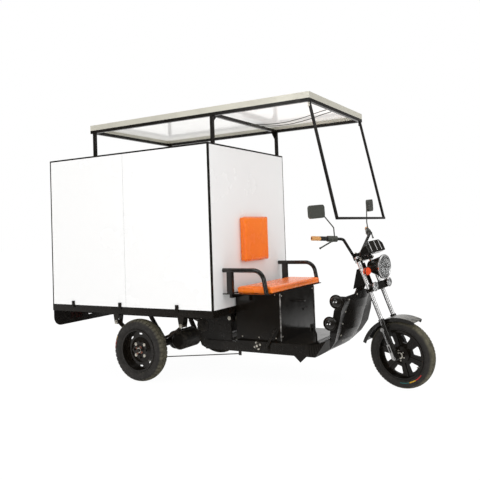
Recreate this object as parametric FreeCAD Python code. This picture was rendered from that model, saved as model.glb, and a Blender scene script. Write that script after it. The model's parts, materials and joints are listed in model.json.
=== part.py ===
import FreeCAD, Part
import math
import os

os.makedirs("parts", exist_ok=True)
V = FreeCAD.Vector

# A three-wheeled electric cargo rickshaw. All lengths are in millimetres.
# The model is laid out with x = 0 on the front face of the cargo box, +X forward,
# +Y to the rider's left and +Z up from the ground, and is centred at the end.

# Cargo box
box_length = 1720.0
box_width = 1220.0
box_height = 1272.0
box_tube = 25.0
box_skin = 1.5
edge_show = 15.0
seam_gap = 2.0
door_gap = 5.0
door_thick = 25.0
floor_board = 15.0

# Bed that carries the box
bed_top = 595.0
bed_depth = 58.0
bed_rail_width = 40.0
bearer_width = 40.0
bearer_count = 6
clamp_width = 30.0
clamp_height = 54.0
clamp_proud = 8.0
clamp_drop = 20.0
clamp_x_shares = (0.196, 0.537, 0.849)

# Door hinges and latch
hinge_pin_r = 4.0
hinge_knuckle_r = 8.0
hinge_play = 0.3
hinge_knuckle_length = 30.0
hinge_gap = 1.0
hinge_leaf = 3.0
hinge_leaf_width = 22.0
hinge_count = 3
hinge_end_margin = 130.0
latch_plate_width = 90.0
latch_plate_height = 140.0
latch_plate_thick = 4.0
latch_height = 1150.0
latch_edge = 30.0
latch_handle_r = 9.0
latch_handle_length = 110.0
latch_handle_stand = 30.0

# Chassis
rail_y = 300.0
rail_width = 50.0
rail_depth = 60.0
rail_end = 20.0
rail_rear_end = 50.0
chassis_cross = 40.0
beam_outer_y = 350.0
beam_width = 40.0
beam_bottom = 250.0
beam_front_x = 620.0
floor_z = 335.0
floor_sheet = 13.0
drop_plate = 12.0
drop_plate_rear = 330.0
drop_plate_radius = 70.0
low_cross_x_shares = (0.03, 0.36, 0.68, 0.97)
low_cross_size = 40.0

# Front down tube, wishbones and head tube
head_angle = 20.3
axis_ground_x = 1288.4
head_low = 785.0
head_high = 965.0
head_tube_r = 27.0
steerer_r = 15.0
steerer_play = 0.3
down_tube_r = 28.0
down_tube_start_x = 420.0
down_tube_floor_z = 290.0
down_tube_heel_x = 740.0
down_tube_heel_z = 305.0
down_tube_mid_x = 838.0
down_tube_mid_z = 440.0
down_tube_top_x = 895.0
down_tube_top_z = 630.0
wishbone_r = 18.0
wishbone_y = 320.0
wishbone_start_x = 560.0
wishbone_front_x = 690.0

# Floor pan with its curved toe board
pan_wall = 8.0
pan_rear_x = 20.0
toe_start_x = 640.0
toe_inner_r = 317.0
toe_angle = 36.0
toe_low_x = 700.0
toe_mid_x = 765.0
toe_mid_z = 292.0
toe_top_x = 836.0
toe_top_z = 430.0
toe_hollow_angle = 28.0
toe_hollow_x = 793.0
toe_hollow_z = 346.0
toe_corner_y = 333.0
toe_mid_y = 200.0
rib_count = 7
rib_width = 6.0
rib_height = 4.0
rib_first_angle = 2.0
rib_step_angle = 3.2
foot_bracket_drop = 45.0
foot_bracket_length = 100.0
foot_bracket_thick = 6.0
foot_bracket_x = 580.0

# Leg shield
shield_low_z = 292.0
shield_high_z = 718.0
shield_half = 333.0
shield_ridge_y = 200.0
shield_wall = 5.0
shield_low_x = 768.0
shield_sweep = 176.0
shield_bulge = 55.0
shield_wing = 58.0
shield_corner_y = 240.0
shield_corner_z = 686.0
shield_taper_share = 0.93
shield_rows_shares = ((0.0, 0.0, 0.0, 0.64, 0.3, 0.3), (0.15, 0.352, 0.295, 0.84, 0.6, 0.6),
                      (0.324, 0.58, 0.466, 1.0, 0.9, 0.95), (0.559, 0.739, 0.625, 1.0, 1.0, 1.0),
                      (0.7, 0.795, 0.761, 0.98, 0.9, 1.0), (0.84, 0.852, 0.898, 0.84, 0.7, 0.9),
                      (1.0, 0.886, 1.0, 0.66, 0.4, 0.8))

# Cover behind the head tube, in steering-axis coordinates
cover_low = 808.0
cover_high = 936.0
cover_back = 122.0
cover_front = 22.0
cover_tip = 44.0
cover_half = 40.0
cover_tip_half = 26.0

# Horns
horn_r = 49.0
horn_dome = 30.0
horn_body_r = 38.0
horn_body = 14.0
horn_gap = 8.0
horn_upper_x = 885.0
horn_upper_z = 660.0
horn_lower_x = 830.0
horn_lower_z = 503.0
horn_arm_width = 22.0
horn_arm_reach = 75.0

# Seat box, battery, seat frame and armrests
seat_box_front = 405.0
seat_box_rear = 14.0
seat_box_half = 310.0
seat_box_top = 704.0
seat_box_wall = 3.0
seat_box_ridge = 5.0
seat_handle_z = 520.0
seat_handle_width = 90.0
battery_length = 340.0
battery_width = 520.0
battery_height = 230.0
seat_frame_width = 25.0
seat_frame_rear = 30.0
seat_frame_front = 404.0
seat_bracket_width = 90.0
seat_bracket_drop = 60.0
arm_y = 457.0
arm_r = 17.0
arm_z = 887.0
arm_front_x = 378.0
arm_bend_r = 90.0
arm_post_x = 62.0
arm_post_length = 50.0
arm_post_width = 26.0
cushion_rear = 99.0
cushion_front = 412.0
cushion_half = 435.0
cushion_low = 711.0
cushion_thick = 50.0
cushion_round = 10.0
back_half = 202.0
back_low = 935.0
back_high = 1300.0
back_thick = 50.0
back_bevel = 8.0

# Pedal, hand lever and brake rod
pedal_y = -150.0
pedal_pivot_x = 625.0
pedal_top_x = 600.0
pedal_top_z = 430.0
pedal_arm_r = 7.0
pedal_pad = 55.0
pedal_pad_thick = 10.0
lever_y = -368.0
lever_x = 300.0
lever_z = 310.0
lever_top_x = 390.0
lever_top_z = 440.0
lever_r = 9.0
lever_boss_r = 24.0
rod_r = 4.0
rod_z = 232.0
rod_front_x = 60.0
rod_eye = 24.0
rod_eye_thick = 6.0
rod_drum_share = 0.75

# Rear axle, springs and wheels
rear_axle_x = -745.0
rear_track_half = 575.0
rear_tyre_r = 250.0
rear_tyre_width = 106.0
rear_rim_r = 165.0
axle_tube_r = 30.0
axle_housing_r = 78.0
axle_housing_left = 130.0
axle_housing_right = 130.0
axle_housing_neck = 60.0
motor_r = 76.0
motor_length = 230.0
motor_cap = 22.0
motor_forward = 165.0
motor_rise = 30.0
motor_y = -190.0
drum_r = 105.0
drum_width = 42.0
drum_gap = 6.0
axle_stub_r = 14.0
axle_play = 0.3
spring_y = 440.0
spring_leaf = 8.0
spring_width = 50.0
spring_count = 4
spring_front_x = -415.0
spring_rear_x = -1105.0
spring_eye_z = 440.0
spring_eye_r = 16.0
spring_step_share = 0.2
hanger_thick = 6.0
hanger_width = 70.0
damper_r = 22.0
damper_rod_r = 9.0
damper_x = -930.0
damper_y = 230.0
damper_body_share = 0.45

# Rear wheel disc
disc_face_share = 0.25
disc_well_share = 0.42
disc_dish_share = 0.62
disc_dish = 12.0
disc_sheet = 6.0
slot_count = 8
slot_ring_share = 0.78
slot_width = 13.0
slot_length = 20.0
hub_r = 45.0
hub_cap = 14.0
stud_count = 4
stud_ring_r = 62.0
stud_r = 9.0
stud_length = 12.0

# Tail apron
tail_low = 395.0
tail_inset = 8.0
tail_sheet = 3.0
tail_corner = 80.0
tail_flange = 25.0
lamp_y = 340.0
lamp_z = 466.0
lamp_width = 150.0
lamp_height = 62.0
lamp_depth = 22.0
vent_y = 130.0
vent_width = 130.0
vent_height = 44.0

# Roof
roof_front = 815.0
roof_rear = -1285.0
roof_half = 535.0
roof_gap = 233.0
roof_edge = 45.0
roof_rim = 12.0
roof_sheet = 8.0
roof_sheet_drop = 14.0
roof_tube = 25.0
post_front_x = -14.0
post_rear_x = -1245.0
post_foot = 70.0
post_foot_thick = 4.0
strip_width = 36.0
strip_thick = 3.0
strip_hole_r = 5.0
strip_pitch = 25.0
gusset_size = 60.0
lead_r = 3.0
lead_points = ((30, -40, -29), (95, -75, -42), (250, -90, -62), (420, -112, -68),
               (590, -140, -54), (715, -168, -36), (790, -180, -28))
lead_offset_y = 95.0

# Windshield frame
shield_frame_top_x = 803.0
shield_frame_low_x = 980.0
shield_frame_drop = 825.0
shield_frame_half = 520.0
shield_frame_tube = 18.0
shield_bracket = 34.0

# Steering: places are along the axis from the ground, forward of it and to its side
park_steer_angle = -11.0
fork_half = 92.0
fork_offset = 38.0
fork_tube_r = 15.5
fork_top = 1010.0
crown_low = 742.0
crown_plate = 24.0
crown_high = 978.0
crown_r = 24.0
collar_s = 535.0
collar_r = 23.0
collar_height = 42.0
slider_r = 19.5
slider_low = 300.0
dropout_thick = 10.0
dropout_width = 44.0
link_y = 122.0
link_r = 5.0
link_ring_r = 15.0
link_pin_r = 6.5
link_ring_s = 461.0
link_ring_e = 32.0
link_slot_top = 352.0
link_slot_width = 24.0
link_slot_hole = 12.0
link_thick = 6.0
front_axle_r = 8.0
front_axle_reach = 140.0
axle_nut_r = 13.0
axle_nut = 10.0

# Tyre section, as shares of its width and of its wall
crown_share = 0.76
shoulder_share = 0.11
bead_share = 0.72
bulge_share = 0.45

# Front wheel
front_axle_e = 42.7
front_axle_s = 248.5
front_tyre_r = 248.0
front_tyre_width = 96.0
front_rim_r = 176.0
rim_wall = 9.0
rim_lip = 6.0
spoke_disc = 14.0
window_count = 6
window_inner_r = 88.0
window_outer_r = 146.0
window_share = 0.52
window_narrow_share = 0.66
window_round = 9.0
window_phase_angle = -6.0
hub_neck_share = 0.6
front_hub_r = 62.0
front_hub_half = 44.0
spoke_rib = 7.0
spoke_rib_width = 12.0

# Front mudguard
guard_r = 323.0
guard_drop = 47.0
guard_wall = 4.0
guard_half = 65.0
guard_skirt = 26.0
guard_front_angle = 47.0
guard_rear_angle = 138.0
guard_stay = 5.0
guard_stay_width = 36.0

# Handlebar, grips, switches, levers and mirrors
bar_r = 11.0
bar_e = -12.0
bar_s = 1034.0
bar_clamp_half = 45.0
bar_bend_share = 0.94
bar_bend_r = 46.0
clamp_across_share = 1.6
clamp_place_share = 0.6
grip_e = -9.4
grip_y = 294.0
grip_s = 1204.0
grip_length = 122.0
grip_sweep_angle = 30.4
grip_rise = 38.0
grip_r = 16.5
grip_start_share = 0.08
switch_r = 22.0
switch_length = 75.0
switch_end_share = 0.04
perch_r = 9.0
lever_blade = 5.5
lever_ball = 8.0
lever_drop = 62.0
lever_reach = 125.0
lever_root_share = 0.2
stem_r = 4.5
stem_foot_share = 0.75
stem_e = 38.0
stem_y = 243.0
stem_mid_s = 1268.0
mirror_e = 40.0
mirror_y = 386.0
mirror_s = 1404.0
mirror_width = 142.0
mirror_height = 96.0
mirror_thick = 24.0
mirror_turn_angle = 15.0
mirror_round = 22.0

# Instruments and lamps on the fork
pod_back_e = 82.0
pod_top_e = 168.0
pod_front_e = 172.0
pod_low_s = 1002.0
pod_back_s = 1028.0
pod_top_s = 1104.0
pod_half = 122.0
pod_shoulder_y = 48.0
pod_shoulder_s = 42.0
pod_round = 9.0
pod_arm = 10.0
pod_foot_e = 58.0
lamp_e = 174.0
lamp_s = 881.0
lamp_r = 89.0
lamp_bowl = 112.0
lamp_back_r = 40.0
lamp_rim = 12.0
lamp_wall = 3.0
lamp_ear_share = 0.25
lens_dome = 34.0
lamp_ear = 8.0
fog_e = 104.0
fog_y = 107.0
fog_s = 767.0
fog_r = 33.0
fog_depth = 32.0
fog_bar = 56.0
fog_bar_thick = 26.0
fog_gap = 3.0
fog_wall = 4.0
fog_recess = 14.0
fog_taper_share = 0.8
blinker_e = 108.0
blinker_y = 146.0
blinker_s = 890.0
blinker_r = 29.0
blinker_stalk_r = 6.0

# Shared
overrun = 60.0
parallel_share = 0.9
bend_room_share = 0.45

# Worked-out sizes
half_width = box_width / 2
box_top = bed_top + box_height
tube_face_y = half_width - box_skin
tube_inner_y = tube_face_y - box_tube
bed_low = bed_top - bed_depth
beam_top = floor_z - floor_sheet
rail_low = bed_low - rail_depth
box_mid_x = -box_length / 2
core_low = bed_top + box_tube
core_high = box_top - box_skin - box_tube
core_front = -box_skin - box_tube
core_rear = -box_length + box_tube
hinge_axis_x = -box_length - hinge_knuckle_r - hinge_leaf / 2
hinge_axis_y = tube_inner_y - door_gap / 2
tail_half = half_width - tail_inset
roof_low = box_top + roof_gap
shield_frame_low_z = roof_low - roof_tube - shield_frame_drop


def block(x0, x1, y0, y1, z0, z1):
    """A rectangular block between two corners."""
    return Part.makeBox(x1 - x0, y1 - y0, z1 - z0, V(x0, y0, z0))


def rod(a, b, radius):
    """A round bar from point a to point b."""
    a, b = V(*a), V(*b)
    return Part.makeCylinder(radius, (b - a).Length, a, b - a)


def fuse(shapes):
    """One solid from several that touch or overlap."""
    first, rest = shapes[0], list(shapes[1:])
    return first.multiFuse(rest).removeSplitter() if rest else first


def both_sides(shape):
    """A piece and its mirror image across the centre plane, as one compound."""
    return Part.makeCompound([shape, mirrored(shape)])


def mirrored(shape):
    return shape.mirror(V(0, 0, 0), V(0, 1, 0))


def side_prism(points, y0, y1):
    """A prism along Y from an outline given as (x, z) points."""
    wire = Part.makePolygon([V(x, y0, z) for x, z in points] + [V(points[0][0], y0, points[0][1])])
    return Part.Face(wire).extrude(V(0, y1 - y0, 0))


def plan_prism(points, z0, z1):
    """A prism along Z from an outline given as (x, y) points."""
    wire = Part.makePolygon([V(x, y, z0) for x, y in points] + [V(points[0][0], points[0][1], z0)])
    return Part.Face(wire).extrude(V(0, 0, z1 - z0))


def rounded_edges(points, radius):
    """Straight runs through the points, joined by tangent arcs."""
    edges, start = [], points[0]
    for before, corner, after in zip(points, points[1:], points[2:]):
        a, b = (before - corner).normalize(), (after - corner).normalize()
        half = a.getAngle(b) / 2
        cut = radius / math.tan(half)
        first, last = corner + a * cut, corner + b * cut
        middle_way = (a + b).normalize()
        middle = corner + middle_way * (radius / math.sin(half) - radius)
        edges.append(Part.LineSegment(start, first).toShape())
        edges.append(Part.Arc(first, middle, last).toShape())
        start = last
    edges.append(Part.LineSegment(start, points[-1]).toShape())
    return edges


def bent_tube(points, tube_r, bend_r):
    """A round tube bent along the points."""
    points = [V(*p) for p in points]
    spine = Part.Wire(rounded_edges(points, bend_r))
    ring = Part.Wire(Part.makeCircle(tube_r, points[0], points[1] - points[0]))
    return spine.makePipeShell([ring], True, False)


def turned(points, centre=(0, 0, 0)):
    """A ring turned about the Y axis through centre, from (radius, y) points."""
    cx, cy, cz = centre
    ring = [V(cx + r, cy + y, cz) for r, y in points]
    face = Part.Face(Part.makePolygon(ring + [ring[0]]))
    return face.revolve(V(cx, cy, cz), V(0, 1, 0), 360)


def tyre(radius, width, rim):
    """A tyre about the Y axis: rounded crown, bulging side walls and beads inside the rim's lips."""
    wall, bead = radius - rim, width / 2 * bead_share
    shoulder, shoulder_r = width / 2 * crown_share, radius - wall * shoulder_share
    bulge_r, lip_r = rim + wall * bulge_share, rim + rim_lip
    sides = []
    for side in (-1, 1):
        sides.append(Part.Arc(V(shoulder_r, side * shoulder, 0), V(bulge_r, side * width / 2, 0),
                              V(lip_r, side * bead, 0)).toShape())
        sides.append(Part.LineSegment(V(lip_r, side * bead, 0), V(rim, side * bead, 0)).toShape())
    crown = Part.Arc(V(shoulder_r, -shoulder, 0), V(radius, 0, 0), V(shoulder_r, shoulder, 0)).toShape()
    seat = Part.LineSegment(V(rim, -bead, 0), V(rim, bead, 0)).toShape()
    wire = Part.Wire(Part.__sortEdges__([crown, seat] + sides))
    return Part.Face(wire).revolve(V(0, 0, 0), V(0, 1, 0), 360)


def rim_barrel(rim, width):
    """The rim under a tyre: a barrel with a lip outside each bead."""
    bead = width / 2 * bead_share
    inner, outer = rim - rim_wall, rim + rim_lip
    ring = [(inner, -bead - rim_lip), (outer, -bead - rim_lip), (outer, -bead), (rim, -bead), (rim, bead),
            (outer, bead), (outer, bead + rim_lip), (inner, bead + rim_lip)]
    return turned(ring)


def moved(shape, x, y, z):
    """A copy of a shape, shifted."""
    copy = shape.copy()
    copy.translate(V(x, y, z))
    return copy


def on_head(shape, steer=0):
    """Places a shape made about an upright steering axis on the sloping head."""
    turn = FreeCAD.Placement(V(0, 0, 0), FreeCAD.Rotation(V(0, 0, 1), steer))
    lean = FreeCAD.Placement(V(axis_ground_x, 0, 0), FreeCAD.Rotation(V(0, 1, 0), -head_angle))
    copy = shape.copy()
    copy.Placement = lean.multiply(turn).multiply(copy.Placement)
    return copy


# Cargo box

def box_frame():
    """The black square tubes along the edges of the box and at its side seams."""
    front, rear = -box_skin, -box_length
    low, high = bed_top, box_top - box_skin
    bars = []
    for side in (-1, 1):
        y_out, y_in = side * tube_face_y, side * tube_inner_y
        y0, y1 = min(y_out, y_in), max(y_out, y_in)
        bars.append(block(front - box_tube, front, y0, y1, low, high))
        bars.append(block(rear, rear + box_tube, y0, y1, low, high))
        bars.append(block(box_mid_x - box_tube / 2, box_mid_x + box_tube / 2, y0, y1, low, high))
        bars.append(block(rear, front, y0, y1, low, low + box_tube))
        bars.append(block(rear, front, y0, y1, high - box_tube, high))
    for x0 in (rear, front - box_tube):
        bars.append(block(x0, x0 + box_tube, -tube_face_y, tube_face_y, low, low + box_tube))
        bars.append(block(x0, x0 + box_tube, -tube_face_y, tube_face_y, high - box_tube, high))
    bars.append(block(box_mid_x - box_tube / 2, box_mid_x + box_tube / 2,
                      -tube_face_y, tube_face_y, high - box_tube, high))
    return fuse(bars)


def side_panel(side, x_rear, x_front, skin_rear, skin_front):
    """A side panel: a core between the tubes under a skin that laps over them."""
    core = block(x_rear, x_front, tube_inner_y, tube_face_y, core_low, core_high)
    skin = block(skin_rear, skin_front, tube_face_y, half_width, bed_top, box_top - edge_show)
    panel = fuse([core, skin])
    return panel if side > 0 else mirrored(panel)


def front_panel():
    core = block(core_front, -box_skin, -tube_inner_y, tube_inner_y, core_low, core_high)
    reach = half_width - edge_show
    skin = block(-box_skin, 0, -reach, reach, bed_top, box_top - edge_show)
    return fuse([core, skin])


def top_panel():
    """The lid of the box, in two cores under one skin."""
    high = box_top - box_skin
    reach = half_width - edge_show
    cores = [block(core_rear, box_mid_x - box_tube / 2, -tube_inner_y, tube_inner_y, core_high, high),
             block(box_mid_x + box_tube / 2, core_front, -tube_inner_y, tube_inner_y, core_high, high)]
    skin = block(-box_length + edge_show, -edge_show, -reach, reach, high, box_top)
    return fuse(cores + [skin])


def floor_panel():
    return block(core_rear, core_front, -tube_inner_y, tube_inner_y, bed_top, bed_top + floor_board)


def hinge_heights():
    low = core_low + hinge_end_margin
    high = core_high - hinge_end_margin
    return [low + (high - low) * i / (hinge_count - 1) for i in range(hinge_count)]


def knuckle(z0, length, bored):
    """One barrel of a hinge, about the left hinge axis."""
    barrel = Part.makeCylinder(hinge_knuckle_r, length, V(hinge_axis_x, hinge_axis_y, z0))
    bore = Part.makeCylinder(hinge_pin_r + hinge_play, length, V(hinge_axis_x, hinge_axis_y, z0))
    return barrel.cut(bore) if bored else barrel


def hinge_leaf_plate(y0, y1, z0, z1):
    """The flat leaf that joins a barrel to the post or to the door."""
    return block(-box_length - hinge_leaf, -box_length, min(y0, y1), max(y0, y1), z0, z1)


def fixed_hinges():
    """Hinge halves on the left rear post: outer barrels, leaf and pin, for each hinge."""
    pieces = []
    for z in hinge_heights():
        half = hinge_knuckle_length / 2 + hinge_gap
        for z0 in (z - half - hinge_knuckle_length, z + half):
            z1 = z0 + hinge_knuckle_length
            leaf = hinge_leaf_plate(hinge_axis_y + hinge_knuckle_r / 2, tube_inner_y + hinge_leaf_width, z0, z1)
            web = block(hinge_axis_x, -box_length, hinge_axis_y, hinge_axis_y + hinge_knuckle_r, z0, z1)
            pieces += [leaf, web, knuckle(z0, hinge_knuckle_length, False)]
        pin_low = z - half - hinge_knuckle_length
        pin_length = 2 * half + 2 * hinge_knuckle_length
        pieces.append(Part.makeCylinder(hinge_pin_r, pin_length, V(hinge_axis_x, hinge_axis_y, pin_low)))
    return pieces


def door_hinge_half(z):
    """The door's own barrel and leaf at one hinge."""
    z0, z1 = z - hinge_knuckle_length / 2, z + hinge_knuckle_length / 2
    leaf_far = hinge_axis_y - hinge_knuckle_r - hinge_leaf_width
    leaf = hinge_leaf_plate(leaf_far, hinge_axis_y - hinge_knuckle_r / 2, z0, z1)
    web = block(hinge_axis_x, -box_length, hinge_axis_y - hinge_knuckle_r, hinge_axis_y, z0, z1)
    bore = Part.makeCylinder(hinge_pin_r + hinge_play, z1 - z0, V(hinge_axis_x, hinge_axis_y, z0))
    return [leaf.cut(bore), fuse([web, knuckle(z0, z1 - z0, False)]).cut(bore)]


def door():
    """The left rear door: a leaf as thick as the wall, with its hinge halves."""
    leaf = block(-box_length, -box_length + door_thick, door_gap / 2, tube_inner_y - door_gap,
                 core_low + door_gap, core_high - door_gap)
    pieces = [leaf]
    for z in hinge_heights():
        pieces += door_hinge_half(z)
    return fuse(pieces)


def hinge_set():
    """All fixed hinge halves, on both rear posts."""
    groups = fixed_hinges()
    step = len(groups) // hinge_count
    sets = [fuse(groups[i * step:(i + 1) * step]) for i in range(hinge_count)]
    return Part.makeCompound(sets + [mirrored(s) for s in sets])


def door_latch():
    """A turn handle on a plate, near the free edge of the right door."""
    y_mid = -door_gap / 2 - latch_edge - latch_plate_width / 2
    x_face = -box_length
    plate = block(x_face - latch_plate_thick, x_face, y_mid - latch_plate_width / 2, y_mid + latch_plate_width / 2,
                  latch_height - latch_plate_height / 2, latch_height + latch_plate_height / 2)
    stand_x = x_face - latch_handle_stand
    post = rod((x_face - latch_plate_thick, y_mid, latch_height), (stand_x, y_mid, latch_height), latch_handle_r)
    grip = rod((stand_x, y_mid, latch_height + latch_handle_r),
               (stand_x, y_mid, latch_height - latch_handle_length), latch_handle_r)
    return fuse([plate, post, grip])


# Bed, chassis and tail

def bed_frame():
    """The perimeter rails under the box and the bearers across them."""
    bars = []
    for side in (-1, 1):
        y0, y1 = sorted((side * half_width, side * (half_width - bed_rail_width)))
        bars.append(block(-box_length, 0, y0, y1, bed_low, bed_top))
    for x0 in (-box_length, -bed_rail_width):
        bars.append(block(x0, x0 + bed_rail_width, -half_width, half_width, bed_low, bed_top))
    span = box_length - 2 * bed_rail_width
    for i in range(1, bearer_count):
        x = -bed_rail_width - span * i / bearer_count
        bars.append(block(x - bearer_width / 2, x + bearer_width / 2, -half_width, half_width, bed_low, bed_top))
    return fuse(bars)


def box_clamps():
    """Three hooks on each side that hold the box down on the bed."""
    hooks = []
    for share in clamp_x_shares:
        x = -box_length * share
        hooks.append(block(x - clamp_width / 2, x + clamp_width / 2, half_width, half_width + clamp_proud,
                           bed_top - clamp_drop, bed_top - clamp_drop + clamp_height))
    return Part.makeCompound(hooks + [mirrored(h) for h in hooks])


def drop_plate_shape(side):
    """The plate outside the high rail that joins it to the low beam."""
    corner = drop_plate_radius * (1 - math.cos(math.pi / 4))
    points = [(-drop_plate_rear, bed_low), (-drop_plate_rear, beam_bottom + drop_plate_radius),
              (-drop_plate_rear + corner, beam_bottom + corner),
              (-drop_plate_rear + drop_plate_radius, beam_bottom),
              (low_cross_size, beam_bottom), (low_cross_size, beam_top), (-rail_end, beam_top),
              (-rail_end, bed_low)]
    inner = rail_y + rail_width / 2
    y0, y1 = sorted((side * inner, side * (inner + drop_plate)))
    return side_prism(points, y0, y1)


def chassis_rails():
    """Two high rails under the bed with the cross members that tie them."""
    parts = []
    for side in (-1, 1):
        y0, y1 = sorted((side * (rail_y - rail_width / 2), side * (rail_y + rail_width / 2)))
        parts.append(block(-box_length + rail_rear_end, -rail_end, y0, y1, rail_low, bed_low))
    for x in (-box_length + rail_rear_end + chassis_cross / 2, -rail_end - chassis_cross):
        parts.append(block(x - chassis_cross / 2, x + chassis_cross / 2, -rail_y, rail_y,
                           bed_low - chassis_cross, bed_low))
    return fuse(parts + [spring_cross_member(x) for x in (spring_rear_x, spring_front_x)])


def low_frame():
    """The low side beams under the floor, their cross members and the drop plates."""
    return fuse([low_beams(), foot_bracket()] + [drop_plate_shape(side) for side in (-1, 1)])


def low_beams():
    beam_inner = beam_outer_y - beam_width
    low_span = beam_front_x + drop_plate_rear - drop_plate_radius
    bars = []
    for side in (-1, 1):
        y0, y1 = sorted((side * beam_inner, side * beam_outer_y))
        bars.append(block(-drop_plate_rear + drop_plate_radius, beam_front_x, y0, y1, beam_bottom, beam_top))
    for share in low_cross_x_shares:
        x = -drop_plate_rear + drop_plate_radius + low_span * share
        bars.append(block(x - low_cross_size / 2, x + low_cross_size / 2, -beam_inner, beam_inner,
                          beam_top - low_cross_size, beam_top))
    return fuse(bars)


def hangers():
    return Part.makeCompound(spring_hangers(spring_rear_x) + spring_hangers(spring_front_x))


def spring_hangers(x):
    """A pair of plates each side of each spring eye, under the cross member."""
    plates = []
    low, high = spring_eye_z - spring_eye_r, bed_low
    outline = [(x - hanger_width / 2, high), (x - spring_eye_r, low), (x + spring_eye_r, low),
               (x + hanger_width / 2, high)]
    for side in (-1, 1):
        for edge in (-1, 1):
            face = side * spring_y + edge * spring_width / 2
            y0, y1 = sorted((face, face + edge * hanger_thick))
            plates.append(side_prism(outline, y0, y1).cut(spring_cross_member(x)))
    return plates


def spring_cross_member(x):
    """The cross member over a pair of spring eyes."""
    reach = spring_y + spring_width / 2
    return block(x - chassis_cross / 2, x + chassis_cross / 2, -reach, reach, bed_low - chassis_cross, bed_low)


def tail_apron():
    """The sheet that hangs below the rear of the bed, with its rounded lower corners."""
    x0, x1 = -box_length, -box_length + tail_sheet
    sheet = block(x0, x1, -tail_half, tail_half, tail_low, bed_low)
    keep = block(x0, x1, -tail_half, tail_half, tail_low + tail_corner, bed_low)
    middle = block(x0, x1, -tail_half + tail_corner, tail_half - tail_corner, tail_low, bed_low)
    rounds = [rod((x0, side * (tail_half - tail_corner), tail_low + tail_corner),
                  (x1, side * (tail_half - tail_corner), tail_low + tail_corner), tail_corner)
              for side in (-1, 1)]
    sheet = fuse([keep, middle] + rounds).common(block(x0, x1, -tail_half, tail_half, tail_low, bed_low))
    for side in (-1, 1):
        sheet = sheet.cut(block(x0 - overrun, x1 + overrun, side * lamp_y - lamp_width / 2,
                                side * lamp_y + lamp_width / 2, lamp_z - lamp_height / 2, lamp_z + lamp_height / 2))
        sheet = sheet.cut(block(x0 - overrun, x1 + overrun, side * vent_y - vent_width / 2,
                                side * vent_y + vent_width / 2, lamp_z - vent_height / 2, lamp_z + vent_height / 2))
    flange = block(x0, x0 + tail_flange, -tail_half, tail_half, bed_low - tail_sheet, bed_low)
    return fuse([sheet, flange])


def tail_lamps():
    """The two rear lamps, which stand out behind the apron and fill its openings."""
    lamp = block(-box_length - lamp_depth, -box_length + tail_sheet, lamp_y - lamp_width / 2,
                 lamp_y + lamp_width / 2, lamp_z - lamp_height / 2, lamp_z + lamp_height / 2)
    return both_sides(lamp)


# Front of the chassis

def head_point(e, s):
    """The (x, z) of a point on the centre plane, from steering-axis coordinates."""
    lean = math.radians(head_angle)
    return (axis_ground_x - s * math.sin(lean) + e * math.cos(lean), s * math.cos(lean) + e * math.sin(lean))


def down_tube_solid(radius):
    top_x, top_z = head_point(0, (head_low + head_high) / 2)
    route = [(down_tube_start_x, 0, down_tube_floor_z), (down_tube_heel_x - down_tube_r * 2, 0, down_tube_floor_z),
             (down_tube_heel_x, 0, down_tube_heel_z), (down_tube_mid_x, 0, down_tube_mid_z),
             (down_tube_top_x, 0, down_tube_top_z), (top_x, 0, top_z)]
    return bent_tube(route, radius, down_tube_r * 3 / 2)


def head_tube_solid(radius):
    return on_head(Part.makeCylinder(radius, head_high - head_low, V(0, 0, head_low)))


def wishbone(side, radius):
    """The tube from the front end of one low beam across to the down tube."""
    route = [(wishbone_start_x, side * wishbone_y, down_tube_floor_z),
             (wishbone_front_x, side * wishbone_y, down_tube_floor_z),
             (down_tube_heel_x, 0, down_tube_heel_z)]
    return bent_tube(route, radius, wishbone_r * 3)


def front_frame():
    """The head tube, the curved down tube behind the leg shield and its two wishbones."""
    parts = [down_tube_solid(down_tube_r), head_tube_solid(head_tube_r)]
    solid = fuse(parts + [wishbone(side, wishbone_r) for side in (-1, 1)])
    bore = on_head(Part.makeCylinder(steerer_r + steerer_play, head_high - head_low + 2 * overrun,
                                     V(0, 0, head_low - overrun)))
    return solid.cut(bore).cut(low_beams())


def floor_pan():
    """The flat foot board and the toe board that curves up in front of it."""
    flat = block(pan_rear_x, beam_front_x, -beam_outer_y, beam_outer_y, beam_top, floor_z)
    solid = toe_corners_off(toe_board(0, beam_outer_y, toe_angle, toe_top_x, toe_top_z), 0)
    hollow = toe_board(pan_wall, beam_outer_y - pan_wall, toe_hollow_angle, toe_hollow_x, toe_hollow_z)
    hollow = toe_corners_off(hollow, pan_wall)
    nose = solid.cut(hollow)
    pan = fuse([flat, nose] + toe_ribs())
    tubes = [wishbone(side, wishbone_r + steerer_play) for side in (-1, 1)]
    for piece in [shield_solid(), down_tube_solid(down_tube_r + steerer_play)] + tubes:
        pan = pan.cut(piece)
    return max(pan.Solids, key=lambda s: s.Volume)


def toe_board(inset, half, end_angle, top_x, top_z):
    """The thick curved board in front of the floor; with an inset, the hollow in it."""
    angle = math.radians(end_angle)
    inner_r, low = toe_inner_r + inset, beam_bottom + inset
    centre = V(toe_start_x, -half, floor_z + toe_inner_r)

    def on_arc(turn):
        return centre + V(inner_r * math.sin(turn), 0, -inner_r * math.cos(turn))

    top = V(top_x, -half, top_z)
    middle = V(toe_mid_x - inset, -half, toe_mid_z + inset)
    nose, start = V(toe_low_x, -half, low), V(beam_front_x, -half, low)
    step = V(beam_front_x, -half, floor_z - inset)
    edges = [Part.LineSegment(start, nose).toShape(), Part.Arc(nose, middle, top).toShape(),
             Part.LineSegment(top, on_arc(angle)).toShape(),
             Part.Arc(on_arc(angle), on_arc(angle / 2), on_arc(0)).toShape(),
             Part.LineSegment(on_arc(0), step).toShape(), Part.LineSegment(step, start).toShape()]
    return Part.Face(Part.Wire(edges)).extrude(V(0, 2 * half, 0))


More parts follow.
